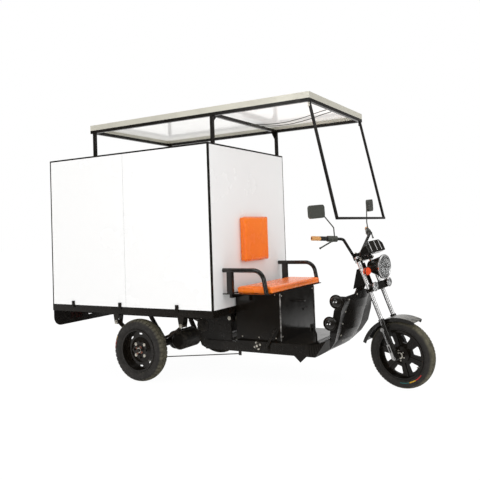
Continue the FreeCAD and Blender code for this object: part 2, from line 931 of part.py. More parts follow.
def toe_corners_off(shape, inset):
    """The toe board with a sloping facet cut across each lower front corner."""
    for _ in range(2):
        shape = cut_beyond(shape, (toe_low_x, -beam_outer_y, beam_bottom), (toe_mid_x, -toe_mid_y, toe_mid_z),
                           (toe_top_x, -toe_corner_y, toe_top_z), inset)
        shape = mirrored(shape)
    return shape


def cut_beyond(shape, a, b, c, inset):
    """Cuts off what lies beyond the plane through a, b and c, moved back by inset."""
    a, b, c = V(*a), V(*b), V(*c)
    normal = (b - a).cross(c - a).normalize()
    along = (b - a).normalize()
    across = normal.cross(along)
    a, reach = a - normal * inset, 2 * beam_outer_y
    corners = [a + along * i * reach + across * j * reach for i, j in ((-1, -1), (1, -1), (1, 1), (-1, 1))]
    return shape.cut(Part.Face(Part.makePolygon(corners + [corners[0]])).extrude(normal * reach))


def toe_ribs():
    """Raised ribs that run over the bend of the toe board and down its edges."""
    ribs = []
    reach = beam_outer_y + rib_height
    depth = floor_z - beam_bottom - pan_wall
    room = toe_corners_off(toe_board(-rib_height, reach, toe_angle, toe_top_x, toe_top_z), 0)
    for i in range(rib_count):
        rib = block(toe_start_x - rib_width / 2, toe_start_x + rib_width / 2, -reach, reach,
                    floor_z - depth, floor_z + rib_height)
        rib = rib.cut(block(toe_start_x - rib_width, toe_start_x + rib_width, -beam_outer_y + pan_wall,
                            beam_outer_y - pan_wall, floor_z - depth, floor_z - pan_wall / 2))
        turn = -(rib_first_angle + rib_step_angle * i)
        rib.rotate(V(toe_start_x, 0, floor_z + toe_inner_r), V(0, 1, 0), turn)
        ribs.append(rib.common(room))
    return ribs


def foot_bracket():
    """The pointed bracket under the right beam, for a stand."""
    outline = [(foot_bracket_x - foot_bracket_length / 2, beam_bottom),
               (foot_bracket_x, beam_bottom - foot_bracket_drop),
               (foot_bracket_x + foot_bracket_length / 2, beam_bottom)]
    return side_prism(outline, -beam_outer_y, -beam_outer_y + foot_bracket_thick)


def shield_section(row, inset, stretch):
    """One level of the leg shield: side flanges, wings, and a bowed front between two ridges."""
    z_share, edge_share, ridge_share, width_share, bulge_share, wing_share = row
    z = shield_low_z + (shield_high_z - shield_low_z) * z_share
    edge_x = shield_low_x + shield_sweep * edge_share - inset
    ridge_x = shield_low_x + shield_sweep * ridge_share - inset
    edge_y = shield_half * width_share - inset
    ridge_y = min(shield_ridge_y, edge_y * shield_taper_share)
    tip_x = ridge_x + shield_bulge * bulge_share
    back_x = edge_x - shield_wing * wing_share - stretch
    right = [V(back_x, -edge_y, z), V(edge_x, -edge_y, z), V(ridge_x, -ridge_y, z)]
    left = [V(ridge_x, ridge_y, z), V(edge_x, edge_y, z), V(back_x, edge_y, z)]
    edges = [Part.LineSegment(right[0], right[1]).toShape(), Part.LineSegment(right[1], right[2]).toShape(),
             Part.Arc(right[2], V(tip_x, 0, z), left[0]).toShape(),
             Part.LineSegment(left[0], left[1]).toShape(), Part.LineSegment(left[1], left[2]).toShape(),
             Part.LineSegment(left[2], right[0]).toShape()]
    return Part.Wire(edges)


def shield_solid():
    """The room that the leg shield takes up, closed at the back."""
    return Part.makeLoft([shield_section(r, 0, 0) for r in shield_rows_shares], True, True)


def leg_shield():
    """The moulded shield in front of the rider's legs, open towards the rider."""
    inner = Part.makeLoft([shield_section(r, shield_wall, overrun) for r in shield_rows_shares], True, True)
    shell = shield_solid().cut(inner)
    far, high = shield_half + overrun, shield_high_z + overrun
    above = [V(0, -far, shield_corner_z - overrun), V(0, -shield_corner_y, shield_corner_z),
             V(0, 0, shield_high_z), V(0, shield_corner_y, shield_corner_z), V(0, far, shield_corner_z - overrun),
             V(0, far, high), V(0, -far, high)]
    trim = Part.Face(Part.makePolygon(above + [above[0]])).extrude(V(axis_ground_x, 0, 0))
    shell = shell.cut(trim).cut(down_tube_solid(down_tube_r + steerer_play))
    return max(shell.Solids, key=lambda s: s.Volume)


def column_cover():
    """The tapered cover between the leg shield and the top of the head tube."""
    def ring(s, back, front, half):
        pts = [V(-back, -half, s), V(-front, -half, s), V(-front, half, s), V(-back, half, s)]
        return Part.makePolygon(pts + [pts[0]])
    wedge = Part.makeLoft([ring(cover_low, cover_back, cover_front, cover_half),
                           ring(cover_high, cover_tip, cover_front, cover_tip_half)], True, True)
    return on_head(wedge).cut(down_tube_solid(down_tube_r + steerer_play)).cut(head_tube_solid(head_tube_r))


def horns():
    """Two domed horns on flat arms, beside the right wing of the leg shield."""
    pieces = []
    shield = shield_solid()
    back_y = -shield_half - horn_gap
    ball_r = (horn_r ** 2 + horn_dome ** 2) / (2 * horn_dome)
    reach = horn_r + overrun
    for x, z in ((horn_upper_x, horn_upper_z), (horn_lower_x, horn_lower_z)):
        arm = block(x, x + horn_arm_width, back_y, back_y + horn_arm_reach,
                    z - horn_arm_width / 2, z + horn_arm_width / 2).cut(shield)
        arm = max(arm.Solids, key=lambda s: -s.CenterOfMass.y)
        body = rod((x, back_y, z), (x, back_y - horn_body, z), horn_body_r)
        ball = Part.makeSphere(ball_r, V(x, back_y - horn_body - horn_dome + ball_r, z))
        dome = ball.common(block(x - reach, x + reach, back_y - horn_body - reach, back_y - horn_body,
                                 z - reach, z + reach))
        pieces.append(fuse([arm, body, dome]))
    return Part.makeCompound(pieces)


# Seat

def seat_box():
    """The sheet box under the seat, with a raised frame and a pull on its front."""
    outer = block(seat_box_rear, seat_box_front, -seat_box_half, seat_box_half, floor_z, seat_box_top)
    inner = block(seat_box_rear + seat_box_wall, seat_box_front - seat_box_wall, -seat_box_half + seat_box_wall,
                  seat_box_half - seat_box_wall, floor_z + seat_box_wall, seat_box_top - seat_box_wall)
    shell = outer.cut(inner)
    pull = block(seat_box_front, seat_box_front + seat_box_ridge, seat_handle_width, seat_handle_width * 2,
                 seat_handle_z, seat_handle_z + seat_box_ridge * 4)
    return fuse([shell, pull])


def battery_pack():
    x0 = (seat_box_rear + seat_box_front - battery_length) / 2
    return block(x0, x0 + battery_length, -battery_width / 2, battery_width / 2, floor_z + seat_box_wall,
                 floor_z + seat_box_wall + battery_height)


def arm_rest():
    """The left arm rest: a bent rail from the box over the post to the seat frame."""
    rail = bent_tube([(0, arm_y, arm_z), (arm_front_x - arm_r * 2, arm_y, arm_z),
                      (arm_front_x, arm_y, seat_box_top)], arm_r, arm_bend_r)
    post = block(arm_post_x - arm_post_length / 2, arm_post_x + arm_post_length / 2, arm_y - arm_post_width / 2,
                 arm_y + arm_post_width / 2, seat_box_top, arm_z)
    return fuse([rail, post])


def seat_frame():
    """The flat frame under the cushion, its brackets and the two arm rests."""
    low, high = seat_box_top, cushion_low
    reach = arm_y + arm_r
    inner_y = reach - seat_frame_width - arm_r
    bars = [block(0, seat_frame_front, side * (inner_y if side > 0 else reach), side * (reach if side > 0 else inner_y),
                  low, high) for side in (-1, 1)]
    bars.append(block(seat_frame_front - seat_frame_width, seat_frame_front, -reach, reach, low, high))
    bars.append(block(seat_frame_rear, seat_frame_rear + seat_frame_width, -reach, reach, low, high))
    for side in (-1, 1):
        foot = arm_rest() if side > 0 else mirrored(arm_rest())
        bars.append(foot)
        y0, y1 = sorted((side * seat_box_half, side * (seat_box_half + seat_frame_width)))
        bars.append(block(arm_post_x, arm_post_x + seat_bracket_width, y0, y1, low - seat_bracket_drop, low))
        y0, y1 = sorted((side * seat_box_half, side * reach))
        bars.append(block(arm_post_x, arm_post_x + seat_frame_width, y0, y1, low - seat_frame_width, low))
    return fuse(bars)


def cushion():
    pad = block(cushion_rear, cushion_front, -cushion_half, cushion_half, cushion_low, cushion_low + cushion_thick)
    upright = [e for e in pad.Edges if abs(e.tangentAt(e.FirstParameter).z) > parallel_share]
    return pad.makeFillet(cushion_round, upright)


def back_rest():
    pad = block(0, back_thick, -back_half, back_half, back_low, back_high)
    front = [e for e in pad.Edges if min(v.X for v in e.Vertexes) > back_thick - overrun / overrun]
    return pad.makeChamfer(back_bevel, front)


# Controls on the chassis

def brake_pedal():
    arm = bent_tube([(pedal_pivot_x, pedal_y, floor_z), (pedal_pivot_x, pedal_y, (floor_z + pedal_top_z) / 2),
                     (pedal_top_x, pedal_y, pedal_top_z)], pedal_arm_r, pedal_arm_r * 4)
    pad = block(pedal_top_x - pedal_pad_thick, pedal_top_x, pedal_y - pedal_pad / 2, pedal_y + pedal_pad / 2,
                pedal_top_z - pedal_pad / 2, pedal_top_z + pedal_pad / 2)
    return fuse([arm, pad])


def hand_lever():
    """The parking brake lever, on a boss on the right low beam."""
    boss = rod((lever_x, -beam_outer_y, lever_z - lever_boss_r), (lever_x, lever_y, lever_z - lever_boss_r),
               lever_boss_r)
    arm = rod((lever_x, lever_y, lever_z - lever_boss_r), (lever_top_x, lever_y, lever_top_z), lever_r)
    return fuse([boss, arm])


def brake_rod():
    """The rod from its hanging plate under the low beam back to the right drum."""
    drum_face = rear_track_half - rear_tyre_width / 2 - drum_gap - drum_width
    start = (rear_axle_x, -drum_face - drum_width / 2, rear_tyre_r - drum_r * rod_drum_share)
    bar = rod(start, (rod_front_x, -beam_outer_y + rod_eye_thick / 2, rod_z), rod_r).cut(drum(-1))
    plate = block(rod_front_x - rod_eye / 2, rod_front_x + rod_eye / 2, -beam_outer_y,
                  -beam_outer_y + rod_eye_thick, rod_z - rod_eye / 2, beam_bottom)
    return fuse([bar, plate])


def drum(side):
    """A brake drum with its back plate, inside a rear wheel."""
    plate_y = rear_track_half - rear_tyre_width / 2 - drum_gap
    return rod((rear_axle_x, side * (plate_y - drum_width), rear_tyre_r),
               (rear_axle_x, side * plate_y, rear_tyre_r), drum_r)


# Rear axle

def rear_axle():
    """The axle tube with its drive housing, motor, spring seats and drum plates."""
    z = rear_tyre_r
    plate_y = rear_track_half - rear_tyre_width / 2 - drum_gap
    tube = rod((rear_axle_x, -plate_y + drum_width, z), (rear_axle_x, plate_y - drum_width, z), axle_tube_r)
    housing_profile = [(0, -axle_housing_right - axle_housing_neck), (axle_tube_r, -axle_housing_right - axle_housing_neck),
                       (axle_housing_r, -axle_housing_right), (axle_housing_r, axle_housing_left),
                       (axle_tube_r, axle_housing_left + axle_housing_neck), (0, axle_housing_left + axle_housing_neck)]
    housing = turned(housing_profile, (rear_axle_x, 0, z))
    motor_x, motor_z = rear_axle_x + motor_forward, z + motor_rise
    motor = turned([(0, -motor_length / 2), (motor_r - motor_cap, -motor_length / 2),
                    (motor_r, -motor_length / 2 + motor_cap), (motor_r, motor_length / 2), (0, motor_length / 2)],
                   (motor_x, motor_y, motor_z))
    case = side_prism([(rear_axle_x, z - motor_r / 2), (motor_x, motor_z - motor_r / 2),
                       (motor_x, motor_z + motor_r / 2), (rear_axle_x, z + motor_r / 2)],
                      motor_y + motor_length / 2 - motor_cap, motor_y + motor_length / 2)
    parts = [tube, housing, motor, case]
    for side in (-1, 1):
        parts.append(drum(side))
        parts.append(rod((rear_axle_x, side * plate_y, z), (rear_axle_x, side * (rear_track_half + drum_width), z),
                         axle_stub_r))
        seat_low, seat_high = z, z + axle_tube_r + spring_leaf
        parts.append(block(rear_axle_x - spring_width / 2, rear_axle_x + spring_width / 2,
                           side * spring_y - spring_width / 2, side * spring_y + spring_width / 2, seat_low, seat_high))
    return fuse(parts)


def leaf_spring():
    """The left spring: a stack of curved leaves, the longest with an eye at each end."""
    seat_z = rear_tyre_r + axle_tube_r + spring_leaf
    rise = spring_eye_z - seat_z
    half_front, half_rear = spring_front_x - rear_axle_x, rear_axle_x - spring_rear_x
    leaves = []
    for i in range(spring_count):
        share = 1 - spring_step_share * (spring_count - 1 - i)
        low = seat_z + spring_leaf * i
        top = low + rise * share * share - spring_leaf * i * share
        front_x, rear_x = rear_axle_x + half_front * share, rear_axle_x - half_rear * share
        y0 = spring_y - spring_width / 2
        lower = Part.Arc(V(rear_x, y0, top), V(rear_axle_x, y0, low), V(front_x, y0, top)).toShape()
        upper = Part.Arc(V(rear_x, y0, top + spring_leaf), V(rear_axle_x, y0, low + spring_leaf),
                         V(front_x, y0, top + spring_leaf)).toShape()
        ends = [Part.LineSegment(V(x, y0, top), V(x, y0, top + spring_leaf)).toShape() for x in (rear_x, front_x)]
        wire = Part.Wire(Part.__sortEdges__([lower, upper] + ends))
        leaves.append(Part.Face(wire).extrude(V(0, spring_width, 0)))
    for x in (spring_front_x, spring_rear_x):
        leaves.append(rod((x, spring_y - spring_width / 2, spring_eye_z),
                          (x, spring_y + spring_width / 2, spring_eye_z), spring_eye_r))
    return fuse(leaves)


def rear_damper():
    """The left damper, from the chassis rail down to the axle housing."""
    low = (rear_axle_x - axle_tube_r, damper_y, rear_tyre_r)
    high = (damper_x, rail_y - rail_width / 2 - damper_rod_r * 2, rail_low + rail_depth / 2)
    a, b = V(*low), V(*high)
    middle = a + (b - a) * damper_body_share
    tube = rod((rear_axle_x, damper_y - damper_r * 2, rear_tyre_r), (rear_axle_x, damper_y + damper_r * 2, rear_tyre_r),
               axle_tube_r)
    pin = rod(high, (high[0], rail_y - rail_width / 2, high[2]), damper_rod_r)
    strut = fuse([rod(low, tuple(middle), damper_r), rod(tuple(middle), high, damper_rod_r * 2), pin]).cut(tube)
    return max(strut.Solids, key=lambda s: s.Volume)


def rear_wheel():
    """A pressed steel wheel about the origin: rim, dished disc with vent slots, hub and studs."""
    half, rim, bore = rear_tyre_width / 2 * bead_share, rear_rim_r, axle_stub_r + axle_play
    face, well = half * disc_face_share, rim * disc_well_share
    disc = turned([(bore, face), (well, face), (rim * disc_dish_share, face - disc_dish),
                   (rim - rim_wall / 2, face - disc_dish), (rim - rim_wall / 2, face - disc_dish - disc_sheet),
                   (rim * disc_dish_share, face - disc_dish - disc_sheet), (well, face - disc_sheet),
                   (bore, face - disc_sheet)])
    for i in range(slot_count):
        disc = disc.cut(vent_slot(i))
    hub = turned([(bore, -half * disc_dish_share), (hub_r, -half * disc_dish_share), (hub_r, face),
                  (hub_r * disc_dish_share, face + hub_cap), (bore, face + hub_cap)])
    studs = []
    for i in range(stud_count):
        angle = 2 * math.pi * i / stud_count
        x, z = stud_ring_r * math.cos(angle), stud_ring_r * math.sin(angle)
        studs.append(rod((x, face - disc_sheet, z), (x, face + stud_length, z), stud_r))
    return fuse([rim_barrel(rim, rear_tyre_width), disc, hub] + studs)


def vent_slot(i):
    """One rounded slot near the rim of the steel disc."""
    ring_r = rear_rim_r * slot_ring_share
    slot = fuse([block(ring_r - slot_width / 2, ring_r + slot_width / 2, -rear_tyre_width, rear_tyre_width,
                       -slot_length / 2, slot_length / 2)]
                + [rod((ring_r, -rear_tyre_width, end * slot_length / 2), (ring_r, rear_tyre_width, end * slot_length / 2),
                       slot_width / 2) for end in (-1, 1)])
    slot.rotate(V(0, 0, 0), V(0, 1, 0), 360 * i / slot_count)
    return slot


# Roof and windshield frame

def roof_frame():
    """Four posts, two side rails and the cross tubes under the roof panel."""
    low, high = roof_low - roof_tube, roof_low
    outer, inner = roof_half, roof_half - roof_tube
    bars = []
    for side in (-1, 1):
        y0, y1 = sorted((side * inner, side * outer))
        bars.append(block(roof_rear, roof_front, y0, y1, low, high))
        for x in (post_front_x, post_rear_x):
            bars.append(block(x - roof_tube / 2, x + roof_tube / 2, y0, y1, box_top, high))
            bars.append(block(x - roof_tube / 2 - (post_foot - roof_tube) * (x == post_rear_x) / 2,
                              x + roof_tube / 2, y0, y1, box_top, box_top + post_foot_thick))
    for x0 in (roof_rear, post_front_x - roof_tube / 2, roof_front - roof_tube):
        bars.append(block(x0, x0 + roof_tube, -outer, outer, low, high))
    return fuse(bars + roof_gussets() + [roof_strip()])


def roof_gussets():
    """Small corner plates between the front posts and the cross tube."""
    high = roof_low - roof_tube
    x0 = post_front_x - roof_tube / 2
    inner = roof_half - roof_tube
    plates = []
    for side in (-1, 1):
        pts = [V(x0, side * inner, high), V(x0, side * (inner - gusset_size), high),
               V(x0, side * inner, high - gusset_size)]
        plates.append(Part.Face(Part.makePolygon(pts + [pts[0]])).extrude(V(strip_thick, 0, 0)))
    return plates


def roof_strip():
    """The slotted strip that lies behind the cross tube, on its left half."""
    x1 = post_front_x - roof_tube / 2
    inner = roof_half - roof_tube
    z1 = roof_low
    strip = block(x1 - strip_width, x1, 0, inner, z1 - strip_thick, z1)
    count = int(inner / strip_pitch)
    for i in range(count):
        y = strip_pitch * (i + 1) - strip_pitch / 2
        strip = strip.cut(rod((x1 - strip_width / 2, y, z1 - strip_thick - overrun),
                              (x1 - strip_width / 2, y, z1 + overrun), strip_hole_r))
    return strip


def roof_edge_frame():
    """The pale metal rim round the roof panel."""
    outer = block(roof_rear, roof_front, -roof_half, roof_half, roof_low, roof_low + roof_edge)
    inner = block(roof_rear + roof_rim, roof_front - roof_rim, -roof_half + roof_rim, roof_half - roof_rim,
                  roof_low - overrun, roof_low + roof_edge + overrun)
    return outer.cut(inner)


def roof_panel():
    high = roof_low + roof_edge - roof_sheet_drop / 2
    return block(roof_rear + roof_rim, roof_front - roof_rim, -roof_half + roof_rim, roof_half - roof_rim,
                 high - roof_sheet, high)


def roof_lead(shift):
    """One thin lead that sags under the front of the roof; its heights are from the roof's underside."""
    return lead_tube([V(x, y + shift, roof_low + z) for x, y, z in lead_points])


def lead_tube(points):
    """A tube whose arcs are as large as the runs allow."""
    edges, start = [], points[0]
    for before, corner, after in zip(points, points[1:], points[2:]):
        a, b = before - corner, after - corner
        cut = bend_room_share * min(a.Length, b.Length)
        a.normalize()
        b.normalize()
        half = a.getAngle(b) / 2
        radius = cut * math.tan(half)
        first, last = corner + a * cut, corner + b * cut
        middle = corner + (a + b).normalize() * (radius / math.sin(half) - radius)
        edges += [Part.LineSegment(start, first).toShape(), Part.Arc(first, middle, last).toShape()]
        start = last
    edges.append(Part.LineSegment(start, points[-1]).toShape())
    ring = Part.Wire(Part.makeCircle(lead_r, points[0], points[1] - points[0]))
    return Part.Wire(edges).makePipeShell([ring], True, False)


def windshield_frame():
    """Two hanging tubes and the bar between them, with a bracket at each top end."""
    t = shield_frame_tube
    top_z = roof_low - roof_tube
    outline = [(shield_frame_top_x - t / 2, top_z), (shield_frame_top_x + t / 2, top_z),
               (shield_frame_low_x + t / 2, shield_frame_low_z - t / 2),
               (shield_frame_low_x - t / 2, shield_frame_low_z - t / 2)]
    bars = []
    for side in (-1, 1):
        y0, y1 = sorted((side * shield_frame_half, side * (shield_frame_half - t)))
        bars.append(side_prism(outline, y0, y1))
        y0, y1 = sorted((side * (shield_frame_half - t - strip_thick), side * (shield_frame_half - t)))
        bars.append(block(shield_frame_top_x - t / 2, shield_frame_top_x + t / 2, y0, y1, top_z - shield_bracket, top_z))
    low_x = shield_frame_low_x
    bars.append(block(low_x - t / 2, low_x + t / 2, -shield_frame_half, shield_frame_half,
                      shield_frame_low_z - t / 2, shield_frame_low_z + t / 2))
    return fuse(bars)


# Steering, made about an upright axis and then leaned back

def fork_crowns():
    """The two bridges that hold the fork tubes, and the stem between them."""
    plates = []
    for s in (crown_low, crown_high):
        hull = [(fork_offset + crown_r, -fork_half), (fork_offset + crown_r, fork_half), (fork_offset, fork_half + crown_r),
                (-steerer_r * 2, steerer_r * 2), (-steerer_r * 2, -steerer_r * 2), (fork_offset, -fork_half - crown_r)]
        plate = plan_prism(hull, s, s + crown_plate)
        for side in (-1, 1):
            plate = plate.cut(Part.makeCylinder(fork_tube_r, crown_plate, V(fork_offset, side * fork_half, s)))
        plates.append(plate)
    stem = Part.makeCylinder(steerer_r, crown_high - crown_low, V(0, 0, crown_low))
    return fuse(plates + [stem])


def fork_tubes():
    tube = Part.makeCylinder(fork_tube_r, fork_top - collar_s, V(fork_offset, fork_half, collar_s))
    return both_sides(tube)


def fork_slider():
    """The left lower leg: collar, slider and the flat drop-out that holds the axle."""
    x, y = fork_offset, fork_half
    collar = Part.makeCylinder(collar_r, collar_height, V(x, y, collar_s - collar_height))
    slider = Part.makeCylinder(slider_r, collar_s - collar_height - slider_low, V(x, y, slider_low))
    plate = block(x - dropout_width / 2, x + dropout_width / 2, y - dropout_thick / 2, y + dropout_thick / 2,
                  front_axle_s - dropout_width / 2, slider_low + dropout_width)
    return fuse([collar, slider, plate])


def brake_link():
    """The left link beside the slider: a ring at the top, a rod and a slotted end."""
    y0, y1 = link_y - link_thick / 2, link_y + link_thick / 2
    x = link_ring_e
    ring = rod((x, y0, link_ring_s), (x, y1, link_ring_s), link_ring_r)
    shank = rod((x, link_y, link_ring_s), (x, link_y, link_slot_top), link_r)
    slot = block(x - link_slot_width / 2, x + link_slot_width / 2, y0, y1,
                 front_axle_s - axle_nut_r / 2, link_slot_top)
    pin = rod((x, fork_half, link_ring_s), (x, y1 + link_thick / 2, link_ring_s), link_pin_r)
    hole = block(x - link_slot_hole / 2, x + link_slot_hole / 2, y0 - overrun, y1 + overrun,
                 front_axle_s + dropout_width, link_slot_top - link_slot_width / 2)
    return fuse([ring, shank, slot, pin]).cut(hole)


def fork_lower():
    """Both sliders, both links and the axle that joins them."""
    left = fuse([fork_slider(), brake_link()])
    axle = rod((front_axle_e, -front_axle_reach, front_axle_s), (front_axle_e, front_axle_reach, front_axle_s),
               front_axle_r)
    nuts = [rod((front_axle_e, side * (link_y + link_thick / 2), front_axle_s),
                (front_axle_e, side * (link_y + link_thick / 2 + axle_nut), front_axle_s), axle_nut_r)
            for side in (-1, 1)]
    spacers = [rod((front_axle_e, side * fork_half, front_axle_s), (front_axle_e, side * link_y, front_axle_s),
                   axle_nut_r) for side in (-1, 1)]
    return fuse([left, mirrored(left), axle] + nuts + spacers)


def arc_band(radius, thick, half, angle0, angle1):
    """Part of a hoop centred under the front axle, between two angles from forward."""
    e, s = front_axle_e, front_axle_s - guard_drop
    ring = rod((e, -half, s), (e, half, s), radius).cut(rod((e, -half, s), (e, half, s), radius - thick))
    reach = radius * 2
    a0, a1 = math.radians(angle0), math.radians(angle1)
    mid = (a0 + a1) / 2
    wedge = [(e, s), (e + reach * math.cos(a0), s + reach * math.sin(a0)),
             (e + reach * math.cos(mid), s + reach * math.sin(mid)),
             (e + reach * math.cos(a1), s + reach * math.sin(a1))]
    return ring.common(side_prism(wedge, -half, half))


def front_guard():
    """The front mudguard: a hoop with side skirts and stays to the sliders."""
    crown = arc_band(guard_r, guard_wall, guard_half, guard_front_angle, guard_rear_angle)
    skirt = arc_band(guard_r, guard_skirt, guard_half, guard_front_angle, guard_rear_angle)
    gap = arc_band(guard_r, guard_skirt, guard_half - guard_wall, guard_front_angle, guard_rear_angle)
    shell = fuse([crown, skirt.cut(gap)])
    stays = []
    e0, e1 = fork_offset - guard_stay_width / 2, fork_offset + guard_stay_width / 2
    stay_high = collar_s - collar_height - guard_stay
    stay_low = stay_high - guard_stay_width
    for side in (-1, 1):
        y0, y1 = sorted((side * (guard_half - guard_wall), side * (fork_half - slider_r / 2)))
        stays.append(block(e0, e1, y0, y1, stay_low, stay_high))
        y0, y1 = sorted((side * (guard_half - guard_wall), side * guard_half))
        stays.append(block(e0, e1, y0, y1, stay_low, front_axle_s - guard_drop + guard_r - guard_skirt / 2))
    shell = fuse([shell] + stays)
    return shell.cut(fork_lower())


def front_wheel():
    """A cast wheel with six windows between broad ribbed spokes."""
    rim, bore = front_rim_r, front_axle_r + axle_play
    disc = turned([(bore, -spoke_disc / 2), (rim - rim_wall / 2, -spoke_disc / 2),
                   (rim - rim_wall / 2, spoke_disc / 2), (bore, spoke_disc / 2)])
    neck_r, neck = front_hub_r * hub_neck_share, front_hub_half * hub_neck_share
    hub = turned([(bore, -front_hub_half), (neck_r, -front_hub_half), (front_hub_r, -neck), (front_hub_r, neck),
                  (neck_r, front_hub_half), (bore, front_hub_half)])
    for i in range(window_count):
        disc = disc.cut(window(i))
    wheel = fuse([rim_barrel(rim, front_tyre_width), disc, hub] + spoke_ribs())
    wheel.rotate(V(0, 0, 0), V(0, 1, 0), -window_phase_angle)
    return wheel


def window(i):
    """One window of the cast wheel: a wedge with rounded corners between two spokes."""
    mid, half = 2 * math.pi * i / window_count, math.pi / window_count * window_share
    inner, outer = window_inner_r, window_outer_r

    def at(radius, angle):
        return V(radius * math.cos(angle), -spoke_disc, radius * math.sin(angle))

    narrow = half * window_narrow_share
    edges = [Part.LineSegment(at(inner, mid - narrow), at(outer, mid - half)).toShape(),
             Part.Arc(at(outer, mid - half), at(outer, mid), at(outer, mid + half)).toShape(),
             Part.LineSegment(at(outer, mid + half), at(inner, mid + narrow)).toShape(),
             Part.Arc(at(inner, mid + narrow), at(inner, mid), at(inner, mid - narrow)).toShape()]
    hole = Part.Face(Part.Wire(edges)).extrude(V(0, 2 * spoke_disc, 0))
    upright = [e for e in hole.Edges if abs(e.tangentAt(e.FirstParameter).y) > parallel_share]
    return hole.makeFillet(window_round, upright)


def spoke_ribs():
    """A rib along the middle of each spoke, on both faces."""
    ribs = []
    for i in range(window_count):
        rib = block(front_hub_r * hub_neck_share, front_rim_r - rim_wall / 2, -spoke_disc / 2 - spoke_rib,
                    spoke_disc / 2 + spoke_rib, -spoke_rib_width / 2, spoke_rib_width / 2)
        rib.rotate(V(0, 0, 0), V(0, 1, 0), 180 * (2 * i + 1) / window_count)
        ribs.append(rib)
    return ribs


def grip_end():
    """The outer end of the left grip."""
    sweep = math.radians(grip_sweep_angle)
    return V(grip_e - grip_length * math.sin(sweep), grip_y + grip_length * math.cos(sweep), grip_s + grip_rise)


def bar_tube():
    """The left half of the handlebar."""
    end = grip_end()
    start = V(grip_e, grip_y, grip_s)
    bend = start - (end - start) * bar_bend_share
    return bent_tube([(bar_e, 0, bar_s), (bar_e, bar_clamp_half, bar_s), tuple(bend), tuple(end)], bar_r, bar_bend_r)


def handlebar():
    """The bent bar and the two clamps that hold it on the upper bridge."""
    tube = bar_tube()
    half, place = bar_r * clamp_across_share, bar_clamp_half * clamp_place_share
    clamps = [block(bar_e - half, bar_e + half, side * place - bar_r, side * place + bar_r,
                    crown_high + crown_plate, bar_s + half) for side in (-1, 1)]
    return fuse([tube, mirrored(tube)] + clamps)


def grip_line():
    """Where the left grip starts, and its direction outwards."""
    start = V(grip_e, grip_y, grip_s)
    return start, (grip_end() - start).normalize()


def along_grip(share0, share1, radius, bore):
    """A sleeve on the left grip's line between two shares of its length."""
    start, end = V(grip_e, grip_y, grip_s), grip_end()
    a, b = start + (end - start) * share0, start + (end - start) * share1
    return Part.makeCylinder(radius, (b - a).Length, a, b - a).cut(Part.makeCylinder(bore, (b - a).Length, a, b - a))


def grips():
    return both_sides(along_grip(grip_start_share, 1, grip_r, bar_r))


def lever_root():
    """Where the left brake lever turns, ahead of the switch housing and under it."""
    start, along = grip_line()
    return start - along * (switch_length * lever_root_share) + V(switch_r, 0, -switch_r)


def switch_room():
    """The room of the left switch housing and its lever perch, bar and all."""
    start, along = grip_line()
    perch = start - along * (switch_length * lever_root_share)
    return fuse([rod(tuple(start - along * switch_length), tuple(start), switch_r),
                 rod(tuple(perch), tuple(lever_root()), perch_r)])


def switches():
    """The left switch housing with its lever perch and ball-ended brake lever."""
    start, along = grip_line()
    share = switch_length / (grip_end() - start).Length
    housing = along_grip(switch_end_share - share, switch_end_share, switch_r, bar_r)
    root = lever_root()
    tip = root + along * lever_reach - V(0, 0, lever_drop)
    blade = rod(tuple(root), tuple(tip), lever_blade)
    perch = rod(tuple(start - along * (switch_length * lever_root_share) + V(bar_r, 0, 0)), tuple(root), perch_r)
    ball = Part.makeSphere(lever_ball, tip)
    return both_sides(fuse([housing, perch.cut(bar_tube()), blade, ball]))


def mirror_head():
    """The left mirror's shell, square to the rider and turned a little outwards."""
    shell = block(-mirror_thick / 2, mirror_thick / 2, -mirror_width / 2, mirror_width / 2,
                  -mirror_height / 2, mirror_height / 2)
    edges = [e for e in shell.Edges if abs(e.tangentAt(e.FirstParameter).x) > parallel_share]
    shell = shell.makeFillet(mirror_round, edges)
    shell.rotate(V(0, 0, 0), V(0, 0, 1), mirror_turn_angle)
    shell.rotate(V(0, 0, 0), V(0, 1, 0), head_angle)
    return moved(shell, mirror_e, mirror_y, mirror_s)


def mirrors():
    """Both mirrors on their bent stems."""
    start, along = grip_line()
    foot = start - along * (switch_length * stem_foot_share)
    inner = mirror_y - mirror_width / 2 * math.cos(math.radians(mirror_turn_angle))
    stem = bent_tube([(foot.x, foot.y, foot.z + bar_r), (stem_e, stem_y, stem_mid_s),
                      (mirror_e, inner + mirror_round / 2, mirror_s - mirror_thick / 2)], stem_r, stem_r * 2)
    mirror = fuse([stem, mirror_head()]).cut(switch_room())
    return both_sides(max(mirror.Solids, key=lambda s: s.Volume))


def instrument_pod():
    """The wedge-shaped instrument cluster over the headlamp, with its bracket on the bridge."""
    outline = [(pod_back_e, pod_low_s), (pod_front_e, pod_low_s), (pod_top_e, pod_top_s),
               (pod_back_e, pod_back_s)]
    shell = side_prism(outline, -pod_half, pod_half)
    for side in (-1, 1):
        corners = [V(0, side * (pod_half - pod_shoulder_y), pod_top_s), V(0, side * pod_half, pod_top_s),
                   V(0, side * pod_half, pod_top_s - pod_shoulder_s)]
        shell = shell.cut(Part.Face(Part.makePolygon(corners + [corners[0]])).extrude(V(pod_front_e + overrun, 0, 0)))
    shell = shell.makeFillet(pod_round, shell.Edges)
    arm = block(pod_foot_e, pod_front_e - pod_arm * 2, -pod_arm, pod_arm, crown_high + crown_plate,
                pod_low_s + pod_arm)
    foot = block(steerer_r * 2, pod_foot_e + pod_arm, -pod_arm, pod_arm, crown_high + crown_plate,
                 crown_high + crown_plate + pod_arm)
    return fuse([shell, arm, foot])


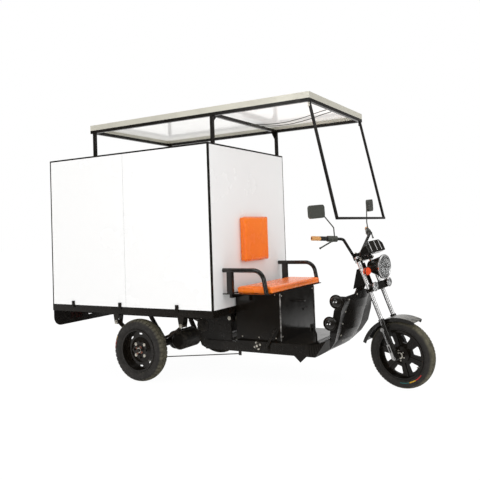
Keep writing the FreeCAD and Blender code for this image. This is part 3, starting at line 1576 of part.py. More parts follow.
def forward_disc(radius0, radius1, depth, back):
    """A round body that faces straight ahead, its front centre at the origin."""
    lean = math.radians(head_angle)
    ahead = V(math.cos(lean), 0, -math.sin(lean))
    if radius0 == radius1:
        return Part.makeCylinder(radius0, depth, ahead * (-depth - back), ahead)
    return Part.makeCone(radius1, radius0, depth, ahead * (-depth - back), ahead)


def headlamp():
    """The hollow round lamp bowl with its rim and the two ears that hold it."""
    bowl = moved(forward_disc(lamp_r - lamp_rim / 2, lamp_back_r, lamp_bowl, lamp_rim), lamp_e, 0, lamp_s)
    rim = moved(forward_disc(lamp_r, lamp_r, lamp_rim, 0), lamp_e, 0, lamp_s)
    room = moved(forward_disc(lamp_r - lamp_rim - lamp_wall, lamp_back_r - lamp_wall,
                              lamp_rim + lamp_bowl - lamp_wall, 0), lamp_e, 0, lamp_s)
    shell = fuse([bowl, rim]).cut(room)
    ears = []
    for side in (-1, 1):
        y0, y1 = sorted((side * (fork_half - fork_tube_r), side * (fork_half - fork_tube_r - lamp_ear)))
        ears.append(block(fork_offset - fork_tube_r, lamp_e - lamp_bowl * lamp_ear_share, y0, y1,
                          lamp_s - lamp_ear, lamp_s + lamp_ear * 3))
    return fuse([shell] + ears)


def headlamp_lens():
    """The domed glass on the front of the headlamp."""
    lean = math.radians(head_angle)
    ahead = V(math.cos(lean), 0, -math.sin(lean))
    r = lamp_r - lamp_rim
    ball_r = (r ** 2 + lens_dome ** 2) / (2 * lens_dome)
    front = V(lamp_e, 0, lamp_s)
    ball = Part.makeSphere(ball_r, front + ahead * (lens_dome - ball_r))
    cap = Part.makeCylinder(r, lens_dome * 2, front, ahead)
    return ball.common(cap)


def fog_lamps():
    """Two small round lamps, open in front, at the ends of a bar under the headlamp."""
    lamps = [moved(forward_disc(fog_r, fog_r * fog_taper_share, fog_depth, 0), fog_e, side * fog_y, fog_s)
             for side in (-1, 1)]
    back = fork_offset + crown_r + fog_gap
    bar = block(back, back + fog_bar_thick, -fog_y, fog_y, fog_s - fog_bar / 2, fog_s + fog_bar / 2)
    foot = block(fork_offset + crown_r, back + fog_gap, -fork_half / 2, fork_half / 2,
                 crown_low + fog_gap, crown_low + crown_plate - fog_gap)
    body = fuse(lamps + [bar, foot])
    for side in (-1, 1):
        body = body.cut(moved(forward_disc(fog_r - fog_wall, fog_r - fog_wall, fog_recess, 0),
                              fog_e, side * fog_y, fog_s))
    return body


def blinkers():
    """Round turn lamps on stalks outside the fork tubes."""
    ball = Part.makeSphere(blinker_r, V(blinker_e, blinker_y, blinker_s))
    stalk = rod((fork_offset, fork_half, blinker_s), (blinker_e, blinker_y, blinker_s), blinker_stalk_r)
    tube = Part.makeCylinder(fork_tube_r, fork_top - collar_s, V(fork_offset, fork_half, collar_s))
    lamp = fuse([ball, stalk]).cut(tube)
    return both_sides(max(lamp.Solids, key=lambda s: s.Volume))


# All pieces by name

def fixed_pieces():
    half_lap = seam_gap / 2
    lap_front, lap_rear = -edge_show, -box_length + edge_show
    inner_front, inner_rear = box_mid_x + box_tube / 2, box_mid_x - box_tube / 2
    pieces = {"box_frame": box_frame(), "front_panel": front_panel(), "top_panel": top_panel(),
              "floor_panel": floor_panel(), "door_hinges": hinge_set(), "bed_frame": bed_frame(),
              "box_clamps": box_clamps(), "chassis_rails": chassis_rails(),
              "low_frame": low_frame(), "spring_hangers": hangers(), "front_frame": front_frame(),
              "tail_apron": tail_apron(), "tail_lamps": tail_lamps(), "floor_pan": floor_pan(),
              "leg_shield": leg_shield(), "column_cover": column_cover(), "horns": horns(),
              "seat_box": seat_box(), "battery_pack": battery_pack(), "seat_frame": seat_frame(),
              "seat_cushion": cushion(), "back_rest": back_rest(), "brake_pedal": brake_pedal(),
              "hand_lever": hand_lever(), "brake_rod": brake_rod(), "rear_axle": rear_axle(),
              "leaf_springs": both_sides(leaf_spring()), "rear_dampers": both_sides(rear_damper()),
              "roof_frame": roof_frame(), "roof_edge": roof_edge_frame(),
              "roof_panel": roof_panel(), "roof_leads": Part.makeCompound([roof_lead(0), roof_lead(lead_offset_y)]),
              "windshield_frame": windshield_frame()}
    for name, side in (("left", 1), ("right", -1)):
        pieces["side_panels_" + name] = Part.makeCompound(
            [side_panel(side, inner_front, core_front, box_mid_x + half_lap, lap_front),
             side_panel(side, core_rear, inner_rear, lap_rear, box_mid_x - half_lap)])
    return pieces


def door_pieces():
    left = door()
    return {"door_left": left, "door_right": mirrored(left), "door_latch": door_latch()}


def rear_wheel_pieces():
    pieces = {}
    for name, side in (("left", 1), ("right", -1)):
        for kind, solid in (("rear_tyre_", tyre(rear_tyre_r, rear_tyre_width, rear_rim_r)), ("rear_wheel_", rear_wheel())):
            solid = solid if side > 0 else mirrored(solid)
            pieces[kind + name] = moved(solid, rear_axle_x, side * rear_track_half, rear_tyre_r)
    return pieces


def steered_pieces():
    pieces = {"fork_crowns": fork_crowns(), "fork_tubes": fork_tubes(), "fork_lower": fork_lower(),
              "front_guard": front_guard(), "handlebar": handlebar(), "grips": grips(), "switches": switches(),
              "mirrors": mirrors(), "instrument_pod": instrument_pod(), "headlamp": headlamp(),
              "headlamp_lens": headlamp_lens(), "fog_lamps": fog_lamps(), "blinkers": blinkers()}
    for name, solid in (("front_tyre", tyre(front_tyre_r, front_tyre_width, front_rim_r)), ("front_wheel", front_wheel())):
        pieces[name] = moved(solid, front_axle_e, 0, front_axle_s)
    return {name: on_head(solid, park_steer_angle) for name, solid in pieces.items()}


def main():
    pieces = fixed_pieces()
    pieces.update(door_pieces())
    pieces.update(rear_wheel_pieces())
    pieces.update(steered_pieces())
    boxes = [solid.optimalBoundingBox() for solid in (pieces["front_tyre"], pieces["door_latch"])]
    middle_x = (max(b.XMax for b in boxes) + min(b.XMin for b in boxes)) / 2
    print("centre shifted by", round(middle_x, 3))
    for name, solid in pieces.items():
        solid = moved(solid, -middle_x, 0, 0)
        solid.exportStep("parts/" + name + ".step")
        print(name, "solids", len(solid.Solids), "valid", solid.isValid(), "litres", round(solid.Volume / 1e6, 3))


main()
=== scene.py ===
# %% [markdown]
# Electric cargo rickshaw. The measured frame already holds every tube, panel and wheel at its true
# size, so this lesson only dresses it: camera and light first, then the finishes, then the tyres with
# their tread, the soft seats, the lamps and the small fasteners.

# %% Load the measured frame
import json
import math

import bmesh
import bpy
from mathutils import Matrix, Vector


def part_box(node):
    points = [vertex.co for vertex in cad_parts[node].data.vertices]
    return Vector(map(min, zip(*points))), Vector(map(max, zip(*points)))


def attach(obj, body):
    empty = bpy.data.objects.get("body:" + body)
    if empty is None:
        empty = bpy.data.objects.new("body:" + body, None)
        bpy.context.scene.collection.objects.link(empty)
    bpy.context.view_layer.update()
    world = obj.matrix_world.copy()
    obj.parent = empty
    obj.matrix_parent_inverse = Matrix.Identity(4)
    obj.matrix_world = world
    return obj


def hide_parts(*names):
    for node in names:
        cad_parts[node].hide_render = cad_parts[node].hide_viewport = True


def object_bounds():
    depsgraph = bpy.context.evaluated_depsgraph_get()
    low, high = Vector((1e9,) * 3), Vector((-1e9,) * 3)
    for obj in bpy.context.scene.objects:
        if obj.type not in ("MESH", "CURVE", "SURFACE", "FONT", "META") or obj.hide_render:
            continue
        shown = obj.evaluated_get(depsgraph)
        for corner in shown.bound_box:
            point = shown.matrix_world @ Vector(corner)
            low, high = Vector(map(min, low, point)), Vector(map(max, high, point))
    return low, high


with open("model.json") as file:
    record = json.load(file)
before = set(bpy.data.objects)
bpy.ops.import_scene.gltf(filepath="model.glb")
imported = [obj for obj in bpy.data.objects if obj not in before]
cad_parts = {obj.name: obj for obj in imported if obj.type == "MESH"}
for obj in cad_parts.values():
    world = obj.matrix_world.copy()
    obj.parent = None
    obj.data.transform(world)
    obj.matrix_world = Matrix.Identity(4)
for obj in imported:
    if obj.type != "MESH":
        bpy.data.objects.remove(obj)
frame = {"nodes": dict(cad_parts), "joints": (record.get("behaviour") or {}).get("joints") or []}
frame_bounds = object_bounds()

scene = bpy.context.scene
nodes = frame["nodes"]
joints = {joint["name"]: joint for joint in frame["joints"]}

# %% [markdown]
# The photograph was taken from the vehicle's right, a little ahead of the seat and about as high as
# the handlebar. The camera stands at that spot. It leans two degrees, as the picture does, so its
# turn is built as three plain rotations: towards the vehicle, up, and round the line of sight.

# %% Camera at the photograph's place
eye = Vector((2.6354, -4.2428, 1.1983))
toward, upward, lean = math.radians(29.446), math.radians(1.804), math.radians(2.016)
picture, focal = 480, 585.96  # the picture's side and the focal length, in pixels
sight_x, sight_y = 262, 210  # the pixel that the camera looks straight at
camera = bpy.data.objects.new("camera", bpy.data.cameras.new("camera"))
scene.collection.objects.link(camera)
turn = (Matrix.Rotation(toward, 3, "Z") @ Matrix.Rotation(math.pi / 2 + upward, 3, "X")
        @ Matrix.Rotation(-lean, 3, "Z"))
camera.matrix_world = Matrix.Translation(eye) @ turn.to_4x4()
camera.data.lens = 36.0 * focal / picture
camera.data.shift_x = (picture / 2 - sight_x) / picture
camera.data.shift_y = (sight_y - picture / 2) / picture
scene.camera = camera
print("camera lens", round(camera.data.lens, 2), "mm")

# %% [markdown]
# Lights and finishes are both made of shader nodes, so a few helpers come first. `node` adds a node
# and feeds its inputs: a socket is linked, a number or colour is set. The others read noise at a point
# of the piece, stretch a value to a range, do arithmetic and mix two colours.

# %% Helpers for shader nodes
def feed(tree, made, values):
    """Gives a node its inputs, by name or number: a socket is linked, anything else is set."""
    for key, value in dict(values).items():
        if isinstance(value, bpy.types.NodeSocket):
            tree.links.new(value, made.inputs[key])
        else:
            made.inputs[key].default_value = value


def node(tree, kind, values=(), **settings):
    """A node with its settings and inputs."""
    made = tree.nodes.new("ShaderNode" + kind)
    for key, value in settings.items():
        setattr(made, key, value)
    feed(tree, made, values)
    return made


def here(tree):
    """The point of the piece that is being shaded, in the piece's own coordinates."""
    return node(tree, "TexCoord").outputs["Object"]


def noise(tree, scale, detail=4.0, **more):
    return node(tree, "TexNoise", {"Vector": here(tree), "Scale": scale, "Detail": detail, **more}).outputs["Fac"]


def remap(tree, value, low, high, to_low=0.0, to_high=1.0):
    """Stretches a value from one range to another, without going past it."""
    return node(tree, "MapRange", {"Value": value, "From Min": low, "From Max": high, "To Min": to_low,
                                   "To Max": to_high}).outputs["Result"]


def maths(tree, operation, *terms):
    """One step of arithmetic on sockets or numbers."""
    return node(tree, "Math", enumerate(terms), operation=operation).outputs[0]


def product(tree, first, *others):
    for other in others:
        first = maths(tree, "MULTIPLY", first, other)
    return first


def along(tree, point, direction):
    """How far a point lies along a direction."""
    return node(tree, "VectorMath", {0: point, 1: direction}, operation="DOT_PRODUCT").outputs["Value"]


def blend_colour(tree, factor, a, b):
    return node(tree, "Mix", {"Factor": factor, 6: a, 7: b}, data_type="RGBA").outputs[2]


def blend_number(tree, factor, a, b):
    return node(tree, "Mix", {0: factor, 2: a, 3: b}, data_type="FLOAT").outputs[0]


# %% [markdown]
# A studio picture on white paper: even light from everywhere, with one large soft lamp over the near
# side and a smaller one low in front of it, so that the side wall is brightest and the front wall a
# shade darker. Bright metal and gloss paint show the room, so what they reflect isn't all alike:
# white overhead and behind the vehicle, and dark on the photographer's side, away from the lamps.

# %% World
scene.view_settings.view_transform = "Standard"
world = bpy.data.worlds.new("studio")
scene.world = world
world.use_nodes = True
sky = world.node_tree
sky.nodes.clear()
to_back_wall = (-0.49, 0.87, 0.0)
direction, rays = node(sky, "TexCoord").outputs["Generated"], node(sky, "LightPath").outputs
back_wall = remap(sky, along(sky, direction, to_back_wall), 0.62, 0.86, 0.14, 1.0)
ceiling = remap(sky, node(sky, "SeparateXYZ", {0: direction}).outputs["Z"], 0.62, 0.86, 0.0, 1.25)
level = blend_number(sky, rays["Is Glossy Ray"], 1.0, maths(sky, "MAXIMUM", back_wall, ceiling))
room = node(sky, "Background", {"Color": (1, 0.996, 0.99, 1), "Strength": level})
paper = node(sky, "Background", {"Color": (1, 1, 1, 1)})
shows_paper = maths(sky, "MAXIMUM", rays["Is Camera Ray"], rays["Is Transmission Ray"])
mix = node(sky, "MixShader", {"Fac": shows_paper, 1: room.outputs[0], 2: paper.outputs[0]})
node(sky, "OutputWorld", {"Surface": mix.outputs[0]})
print("world of", len(sky.nodes), "nodes")


# %% Lamps
def soft_lamp(name, place, target, size, power):
    """A square lamp that looks at a target."""
    light = bpy.data.lights.new(name, "AREA")
    light.size, light.energy = size, power
    lamp = bpy.data.objects.new(name, light)
    lamp.location = place
    lamp.rotation_euler = (Vector(target) - Vector(place)).to_track_quat("-Z", "Y").to_euler()
    scene.collection.objects.link(lamp)


middle = (frame_bounds[0] + frame_bounds[1]) / 2
soft_lamp("near_side", (-1.6, -5.5, 4.0), middle, 2.0, 40)
soft_lamp("near_low", (1.2, -5.0, 1.3), (0.4, 0, 0.6), 1.2, 22)
soft_lamp("front", (5.5, -0.5, 2.6), middle, 2.0, 38)
soft_lamp("top", (0.4, 0.5, 6.5), middle, 1.4, 36)

# %% [markdown]
# The floor is the same white paper. Nearly all that the camera sees of it is plain white, and a small
# part is real shading, which leaves a faint shadow under the wheels. What gloss paint shows of it ends
# where the paper ends, a little in front of the vehicle.

# %% Floor
plane = bmesh.new()
bmesh.ops.create_grid(plane, x_segments=1, y_segments=1, size=40)
floor = bpy.data.objects.new("floor", bpy.data.meshes.new("floor"))
plane.to_mesh(floor.data)
plane.free()
scene.collection.objects.link(floor)
floor_paper = bpy.data.materials.new("floor_paper")
floor_paper.use_nodes = True
tree = floor_paper.node_tree
rays, point = node(tree, "LightPath").outputs, here(tree)
paper_end = maths(tree, "MAXIMUM", remap(tree, along(tree, point, (0.49, -0.87, 0.0)), 0.8, 2.0),
                  remap(tree, along(tree, point, (1.0, 0.0, 0.0)), 1.6, 2.4))
beyond = product(tree, paper_end, rays["Is Glossy Ray"])
shaded = tree.nodes["Principled BSDF"]
feed(tree, shaded, {"Roughness": 0.9, "Specular IOR Level": 0.1,
                    "Base Color": blend_colour(tree, beyond, (0.9, 0.9, 0.895, 1), (0.06, 0.06, 0.06, 1))})
glow = node(tree, "Emission", {"Strength": 1.04})
mix = node(tree, "MixShader", {"Fac": product(tree, rays["Is Camera Ray"], 0.93), 1: shaded.outputs[0],
                               2: glow.outputs[0]})
feed(tree, tree.nodes["Material Output"], {"Surface": mix.outputs[0]})
floor.data.materials.append(floor_paper)
print("floor", tuple(round(v, 1) for v in floor.dimensions))

# %% [markdown]
# Every finish is worked out from the place of a point on the piece, never from a picture file. The
# effects that several finishes share are built once as node groups: uneven colour and gloss, a fine
# bump, a pale colour on what faces up, which is dust and on the mudguard also a painted highlight,
# and thin scratches.

# %% Uneven colour and gloss
def new_group(name, inputs, outputs):
    """An empty shader group with its sockets; gives the group, its inputs and its output node."""
    made = bpy.data.node_groups.new(name, "ShaderNodeTree")
    for label, value in inputs.items():
        kind = "NodeSocketFloat" if isinstance(value, float) else "NodeSocketColor"
        made.interface.new_socket(label, in_out="INPUT", socket_type=kind).default_value = value
    for label, kind in outputs.items():
        made.interface.new_socket(label, in_out="OUTPUT", socket_type="NodeSocket" + kind)
    print("shared effect", name)
    return made, made.nodes.new("NodeGroupInput").outputs, made.nodes.new("NodeGroupOutput")


uneven, given, result = new_group("uneven_finish", {
    "Colour": (0.5, 0.5, 0.5, 1), "Second": (0.4, 0.4, 0.4, 1), "Scale": 3.0, "Amount": 0.5, "Smooth": 0.3,
    "Rough": 0.5}, {"Colour": "Color", "Roughness": "Float"})
patches = remap(uneven, noise(uneven, given["Scale"], 6.0), 0.35, 0.68)
cloud = remap(uneven, noise(uneven, product(uneven, given["Scale"], 2.7), 5.0), 0.3, 0.7)
feed(uneven, result, {
    "Colour": blend_colour(uneven, product(uneven, patches, given["Amount"]), given["Colour"], given["Second"]),
    "Roughness": remap(uneven, cloud, 0.0, 1.0, given["Smooth"], given["Rough"])})

# %% A fine bump
fine_bump, given, result = new_group("fine_bump", {"Scale": 200.0, "Strength": 0.1, "Wave": 0.0},
                                     {"Normal": "Vector"})
slow_wave = product(fine_bump, noise(fine_bump, 2.2, 1.0), given["Wave"])
height = maths(fine_bump, "ADD", noise(fine_bump, given["Scale"], 2.0), slow_wave)
bump = node(fine_bump, "Bump", {"Distance": 0.001, "Height": height, "Strength": given["Strength"]})
feed(fine_bump, result, {"Normal": bump.outputs["Normal"]})

# %% Dust on what faces up, and a painted highlight
dust_and_sheen, given, result = new_group("dust_and_top_sheen", {
    "Colour": (0.1, 0.1, 0.1, 1), "Roughness": 0.3, "Dust": (0.3, 0.27, 0.22, 1), "Amount": 0.3},
    {"Colour": "Color", "Roughness": "Float"})
up = node(dust_and_sheen, "SeparateXYZ", {0: node(dust_and_sheen, "NewGeometry").outputs["Normal"]}).outputs["Z"]
specks = remap(dust_and_sheen, noise(dust_and_sheen, 38.0, 8.0), 0.42, 0.72)
# on the mudguard this pale top is partly dust and partly a painted highlight
mask = product(dust_and_sheen, remap(dust_and_sheen, up, 0.1, 0.95), specks, given["Amount"])
feed(dust_and_sheen, result, {"Colour": blend_colour(dust_and_sheen, mask, given["Colour"], given["Dust"]),
                     "Roughness": maths(dust_and_sheen, "ADD", given["Roughness"], product(dust_and_sheen, mask, 0.4))})

# %% Thin scratches
scratched, given, result = new_group("thin_scratches", {
    "Colour": (0.1, 0.1, 0.1, 1), "Scratch": (0.4, 0.4, 0.4, 1), "Scale": 6.0, "Amount": 0.3}, {"Colour": "Color"})
stretch = node(scratched, "Mapping", {"Vector": here(scratched), "Scale": (1.0, 9.0, 14.0),
                                      "Rotation": (0.4, 0.7, 0.3)})
lines = node(scratched, "TexNoise", {"Vector": stretch.outputs["Vector"], "Scale": given["Scale"], "Detail": 2.0,
                                     "Distortion": 0.6})
off_middle = maths(scratched, "ABSOLUTE", maths(scratched, "SUBTRACT", lines.outputs["Fac"], 0.5))
thin = remap(scratched, off_middle, 0.0, 0.004, 1.0, 0.0)
where = remap(scratched, noise(scratched, 4.0, 3.0), 0.55, 0.7)
mask = product(scratched, thin, where, given["Amount"])
feed(scratched, result, {"Colour": blend_colour(scratched, mask, given["Colour"], given["Scratch"])})

# %% [markdown]
# A finish is a Principled shader fed by those groups. The helper below stacks them: uneven colour,
# then scratches, then dust (on the mudguard also a painted highlight), with the bump on the normal.
# The plain numbers, such as the metal or the specular level, are set on the shader's own sockets.

# %% One finish from its values
def new_material(name, values):
    """A material with a Principled shader; gives the material, its node tree and the shader."""
    material = bpy.data.materials.new(name)
    material.use_nodes = True
    shader = material.node_tree.nodes["Principled BSDF"]
    feed(material.node_tree, shader, values)
    print("material", name)
    return material, material.node_tree, shader


def finish(name, colour, second, scale=3.0, amount=0.5, gloss=(0.3, 0.5), bump=(300.0, 0.05, 0.0), scratch=0.0,
           dust=0.0, sheen_and_dust_colour=(0.30, 0.27, 0.21, 1), **shader_values):
    """A material from its colours, its range of roughness and the strength of each shared effect.

    scale and amount say how large and strong the patches of the second colour are; bump is the
    grain's scale, the bump's strength and the share of the slow wave."""
    material, tree, shader = new_material(name, {key.replace("_", " "): v for key, v in shader_values.items()})
    last = node(tree, "Group", {"Colour": colour, "Second": second, "Scale": scale, "Amount": amount,
                                "Smooth": gloss[0], "Rough": gloss[1]}, node_tree=uneven)
    shade, rough = last.outputs["Colour"], last.outputs["Roughness"]
    if scratch:
        shade = node(tree, "Group", {"Colour": shade, "Amount": scratch}, node_tree=scratched).outputs["Colour"]
    if dust:
        last = node(tree, "Group", {"Colour": shade, "Roughness": rough, "Amount": dust, "Dust": sheen_and_dust_colour},
                    node_tree=dust_and_sheen)
        shade, rough = last.outputs["Colour"], last.outputs["Roughness"]
    relief = node(tree, "Group", {"Scale": bump[0], "Strength": bump[1], "Wave": bump[2]}, node_tree=fine_bump)
    feed(tree, shader, {"Base Color": shade, "Roughness": rough, "Normal": relief.outputs["Normal"]})
    return material


def grey(value, warm=0.0):
    """A grey, made warmer by a share."""
    return (value * (1 + warm), value, value * (1 - warm), 1)


def add_bump(material, height, distance, strength):
    """A bump over the one that the material has."""
    tree = material.node_tree
    normal = tree.nodes["Principled BSDF"].inputs["Normal"]
    relief = node(tree, "Bump", {"Height": height, "Distance": distance, "Strength": strength})
    if normal.links:
        feed(tree, relief, {"Normal": normal.links[0].from_socket})
    tree.links.new(relief.outputs["Normal"], normal)


# %% [markdown]
# The steel frame is sprayed black straight over the tube: nearly black with an olive tinge, a
# little orange peel and road dust on its upper faces. The pressed wheels and the seat box are the
# same paint, glossier.

# %% Painted steel
black_steel = finish("black_steel", grey(0.006, 0.2), grey(0.011, 0.25), 7.0, 0.6, (0.20, 0.36),
                     (420.0, 0.04, 0.6), scratch=0.30, dust=0.08, Specular_IOR_Level=0.24)
gloss_steel = finish("gloss_steel", grey(0.005, 0.25), grey(0.009, 0.3), 5.0, 0.6, (0.10, 0.22),
                     (300.0, 0.06, 1.2), scratch=0.2, dust=0.05, Specular_IOR_Level=0.27)
tube_steel = finish("tube_steel", grey(0.005, 0.2), grey(0.010, 0.25), 7.0, 0.6, (0.10, 0.20),
                    (420.0, 0.05, 0.8), scratch=0.30, dust=0.06, Specular_IOR_Level=0.5)
under_steel = finish("under_steel", grey(0.010, 0.2), grey(0.028, 0.25), 9.0, 0.7, (0.35, 0.6),
                     (180.0, 0.25, 0.4), scratch=0.4, dust=0.35, Specular_IOR_Level=0.3)
spring_steel = finish("spring_steel", grey(0.015, 0.2), (0.09, 0.06, 0.04, 1), 16.0, 0.6, (0.4, 0.65),
                      (260.0, 0.2, 0.2), scratch=0.4, dust=0.4, Metallic=0.4)
# painted highlight: pale grey patches over black stand for the bright lines of light on the seat box's front edges
painted_highlight_edge = finish("painted_highlight_edge", grey(0.008, 0.2), grey(0.42, 0.04), 26.0, 0.8, (0.2, 0.35), (500.0, 0.2, 0.0))

# %% [markdown]
# The box walls are glass-fibre faced boards with a white gel coat. They are never quite flat, so
# the bump has a long slow wave besides its fine grain, and the white is broken by the faintest
# grey. The roof is a thin sheet of the same. Seen from below it is lightened by a painted glow,
# which is emission on the faces that look down, in place of daylight coming through the sheet.

# %% White boards
white_board = finish("white_board", grey(0.87), grey(0.85, 0.01), 0.8, 0.2, (0.26, 0.28), (900.0, 0.03, 1.2),
                     scratch=0.04, dust=0.05, sheen_and_dust_colour=(0.5, 0.47, 0.42, 1), Specular_IOR_Level=0.45)
white_roof = finish("white_roof", grey(0.92), grey(0.86, 0.01), 1.6, 0.6, (0.06, 0.16), (700.0, 0.03, 1.5),
                    Specular_IOR_Level=0.5, Emission_Strength=0.30)
tree = white_roof.node_tree
up = node(tree, "SeparateXYZ", {0: node(tree, "NewGeometry").outputs["Normal"]}).outputs["Z"]
# painted glow: the faces that look down emit light, which lightens the roof's underside
painted_underside_glow = product(tree, maths(tree, "LESS_THAN", up, -0.5), remap(tree, noise(tree, 2.5, 3.0), 0.3, 0.7, 0.8, 1.0))
feed(tree, tree.nodes["Principled BSDF"], {
    "Emission Color": blend_colour(tree, painted_underside_glow, (0, 0, 0, 1), (1, 0.99, 0.96, 1))})
load_board = finish("load_board", (0.20, 0.14, 0.09, 1), (0.12, 0.085, 0.06, 1), 14.0, 0.8, (0.35, 0.6),
                    (60.0, 0.5, 0.0), scratch=0.5, dust=0.35)
cream_alloy = finish("cream_alloy", (0.66, 0.64, 0.55, 1), (0.55, 0.53, 0.46, 1), 4.0, 0.6, (0.3, 0.45),
                     (500.0, 0.06, 0.6), scratch=0.15, dust=0.1, Metallic=0.25)

# %% [markdown]
# Three black plastics differ only in gloss and dust: the lamps and the instrument pod shine, the leg
# shield is duller, and the front mudguard is pale on top, partly with dust and partly as a painted
# highlight. The switches and mirrors are matt.

# %% Plastics and rubber
black = (grey(0.006, 0.15), grey(0.010, 0.2), 6.0, 0.5)
orange_peel = (260.0, 0.06, 1.0)
gloss_plastic = finish("gloss_plastic", *black, (0.10, 0.22), orange_peel, 0.2, 0.06, Specular_IOR_Level=0.34)
shield_plastic = finish("shield_plastic", *black, (0.22, 0.36), orange_peel, 0.3, 0.05, Specular_IOR_Level=0.18)
# pale on top: partly dust, partly a painted highlight along the mudguard's upper side
guard_plastic = finish("guard_plastic", *black, (0.12, 0.24), orange_peel, 0.3, 0.42, (0.55, 0.53, 0.44, 1),
                       Specular_IOR_Level=0.45)
matt_plastic = finish("matt_plastic", (0.045, 0.047, 0.038, 1), (0.06, 0.062, 0.05, 1), 14.0, 0.6, (0.42, 0.58),
                      (1400.0, 0.35, 0.0), dust=0.15)
grip_rubber = finish("grip_rubber", grey(0.02, 0.05), grey(0.032, 0.1), 30.0, 0.5, (0.55, 0.75), (900.0, 0.5, 0.0))
# also used on the horns' screws, where the pale colour is a painted highlight
pale_trim_and_glint = finish("pale_trim_and_glint", grey(0.75), grey(0.65), 40.0, 0.5, (0.25, 0.4), (500.0, 0.1, 0.0))
dial_black = finish("dial_black", grey(0.006), grey(0.010), 30.0, 0.4, (0.05, 0.12), (300.0, 0.02, 0.0))

# %% [markdown]
# The fork tubes are hard chrome, which is a bright metal with hardly any colour of its own. Nuts
# and washers are zinc, duller and slightly yellow, and the square hub in the rear wheel has gone
# brown with rust.

# %% Bright metals
chrome = finish("fork_chrome", grey(0.80), grey(0.70, 0.02), 12.0, 0.5, (0.22, 0.30), (500.0, 0.01, 0.1),
                scratch=0.1, Metallic=0.84)
zinc = finish("zinc", (0.68, 0.65, 0.58, 1), (0.50, 0.46, 0.38, 1), 60.0, 0.6, (0.22, 0.40), (700.0, 0.2, 0.0),
              Metallic=0.7)
rust = finish("rusty_steel", (0.30, 0.10, 0.06, 1), (0.14, 0.06, 0.04, 1), 70.0, 0.8, (0.5, 0.8),
              (500.0, 0.5, 0.0), Metallic=0.2)
fork_legs = finish("fork_legs", grey(0.46), grey(0.34, 0.05), 14.0, 0.5, (0.12, 0.28), (400.0, 0.1, 0.4),
                   scratch=0.3, dust=0.1, Metallic=1.0)
mirror_glass = finish("mirror_glass", grey(0.8), grey(0.78), 3.0, 0.3, (0.02, 0.05), (300.0, 0.0, 0.0), Metallic=1.0)
reflector = finish("reflector", grey(0.88), grey(0.75), 40.0, 0.4, (0.05, 0.15), (200.0, 0.15, 0.0), Metallic=0.6)

# %% [markdown]
# Lamp glass is clear, with plain transmission. The turn signals and tail lamps are coloured plastic
# that light still passes through, so they get a little transmission and a glossy skin.

# %% Lamp glass
def clear(name, colour, transmission, roughness):
    material, tree, shader = new_material(name, {"Transmission Weight": transmission, "IOR": 1.45})
    darker = tuple(c * 0.9 for c in colour[:3]) + (1,)
    mottle = node(tree, "Group", {"Colour": colour, "Second": darker, "Scale": 20.0, "Amount": 0.4,
                                  "Smooth": roughness, "Rough": roughness + 0.05}, node_tree=uneven)
    feed(tree, shader, {"Base Color": mottle.outputs["Colour"], "Roughness": mottle.outputs["Roughness"]})
    return material


lamp_clear = clear("lamp_clear", (0.97, 0.98, 0.98, 1), 0.95, 0.02)
signal_orange = clear("signal_orange", (0.90, 0.09, 0.02, 1), 0.25, 0.12)
signal_red = clear("signal_red", (0.45, 0.01, 0.01, 1), 0.25, 0.12)

# %% [markdown]
# Three pieces have two finishes each. The tail lamps are red only where they face backwards, in a
# black housing; the inner part of the fork's lower legs is black with a bright link outside it; and
# the grips end in a ribbed orange sleeve. A mask from the place on the piece chooses between the
# two. On the fork and the grips that place is measured in the steering head's own directions: forward
# of its axis, to the rider's left and up along it.

# %% The steering head's own directions
head_up = Vector(joints["steering"]["axis"]).normalized()
axis_foot = Vector(joints["steering"]["pos_m"])
axis_foot -= head_up * (axis_foot.z / head_up.z)
head_left = Vector(joints["front_wheel_spin"]["axis"]).normalized()
head_forward = head_left.cross(head_up).normalized()
head = Matrix((head_forward, head_left, head_up)).transposed().to_4x4()
head.translation = axis_foot
print("the steering axis meets the ground at", tuple(round(v, 3) for v in axis_foot))


# %% Two finishes on one piece
def second_finish(material, mask, colour, rough=None, metal=None):
    """Paints the masked part of a material with another colour, roughness and metal value."""
    tree = material.node_tree
    inputs = tree.nodes["Principled BSDF"].inputs
    for label, value, blend in (("Base Color", colour, blend_colour), ("Roughness", rough, blend_number),
                                ("Metallic", metal, blend_number)):
        if value is not None:
            links = inputs[label].links
            old = links[0].from_socket if links else inputs[label].default_value
            tree.links.new(blend(tree, mask, old, value), inputs[label])


def place_in(material, place):
    """The material's tree, and the X, Y and Z of a point in the directions of a place, as sockets."""
    tree, back = material.node_tree, place.inverted()
    local = node(tree, "Mapping", {"Vector": here(tree), "Location": back.translation,
                                   "Rotation": back.to_euler("XYZ")})
    split = node(tree, "SeparateXYZ", {0: local.outputs["Vector"]}).outputs
    return tree, split["X"], split["Y"], split["Z"]


tail_face_x, link_inside, sleeve_start = -1.5945, 0.1135, 0.352
tree, x, y, z = place_in(signal_red, Matrix.Identity(4))
second_finish(signal_red, maths(tree, "GREATER_THAN", x, tail_face_x), (0.012, 0.011, 0.009, 1))
tree, x, y, z = place_in(fork_legs, head)
inside = maths(tree, "LESS_THAN", maths(tree, "ABSOLUTE", y), link_inside)
second_finish(fork_legs, inside, (0.010, 0.009, 0.007, 1), None, 0.0)
tree, x, y, z = place_in(grip_rubber, head)
sleeve = maths(tree, "GREATER_THAN", maths(tree, "ABSOLUTE", y), sleeve_start)
second_finish(grip_rubber, sleeve, (0.72, 0.36, 0.12, 1), 0.35)
add_bump(grip_rubber, maths(tree, "SINE", product(tree, y, 1500.0)), 0.0015, 0.7)

# %% [markdown]
# Each CAD node now gets its finish, by one table from finish to nodes. The record has its own list
# of plain materials, called slots, and a second table says which slot a new piece of each finish
# belongs to.

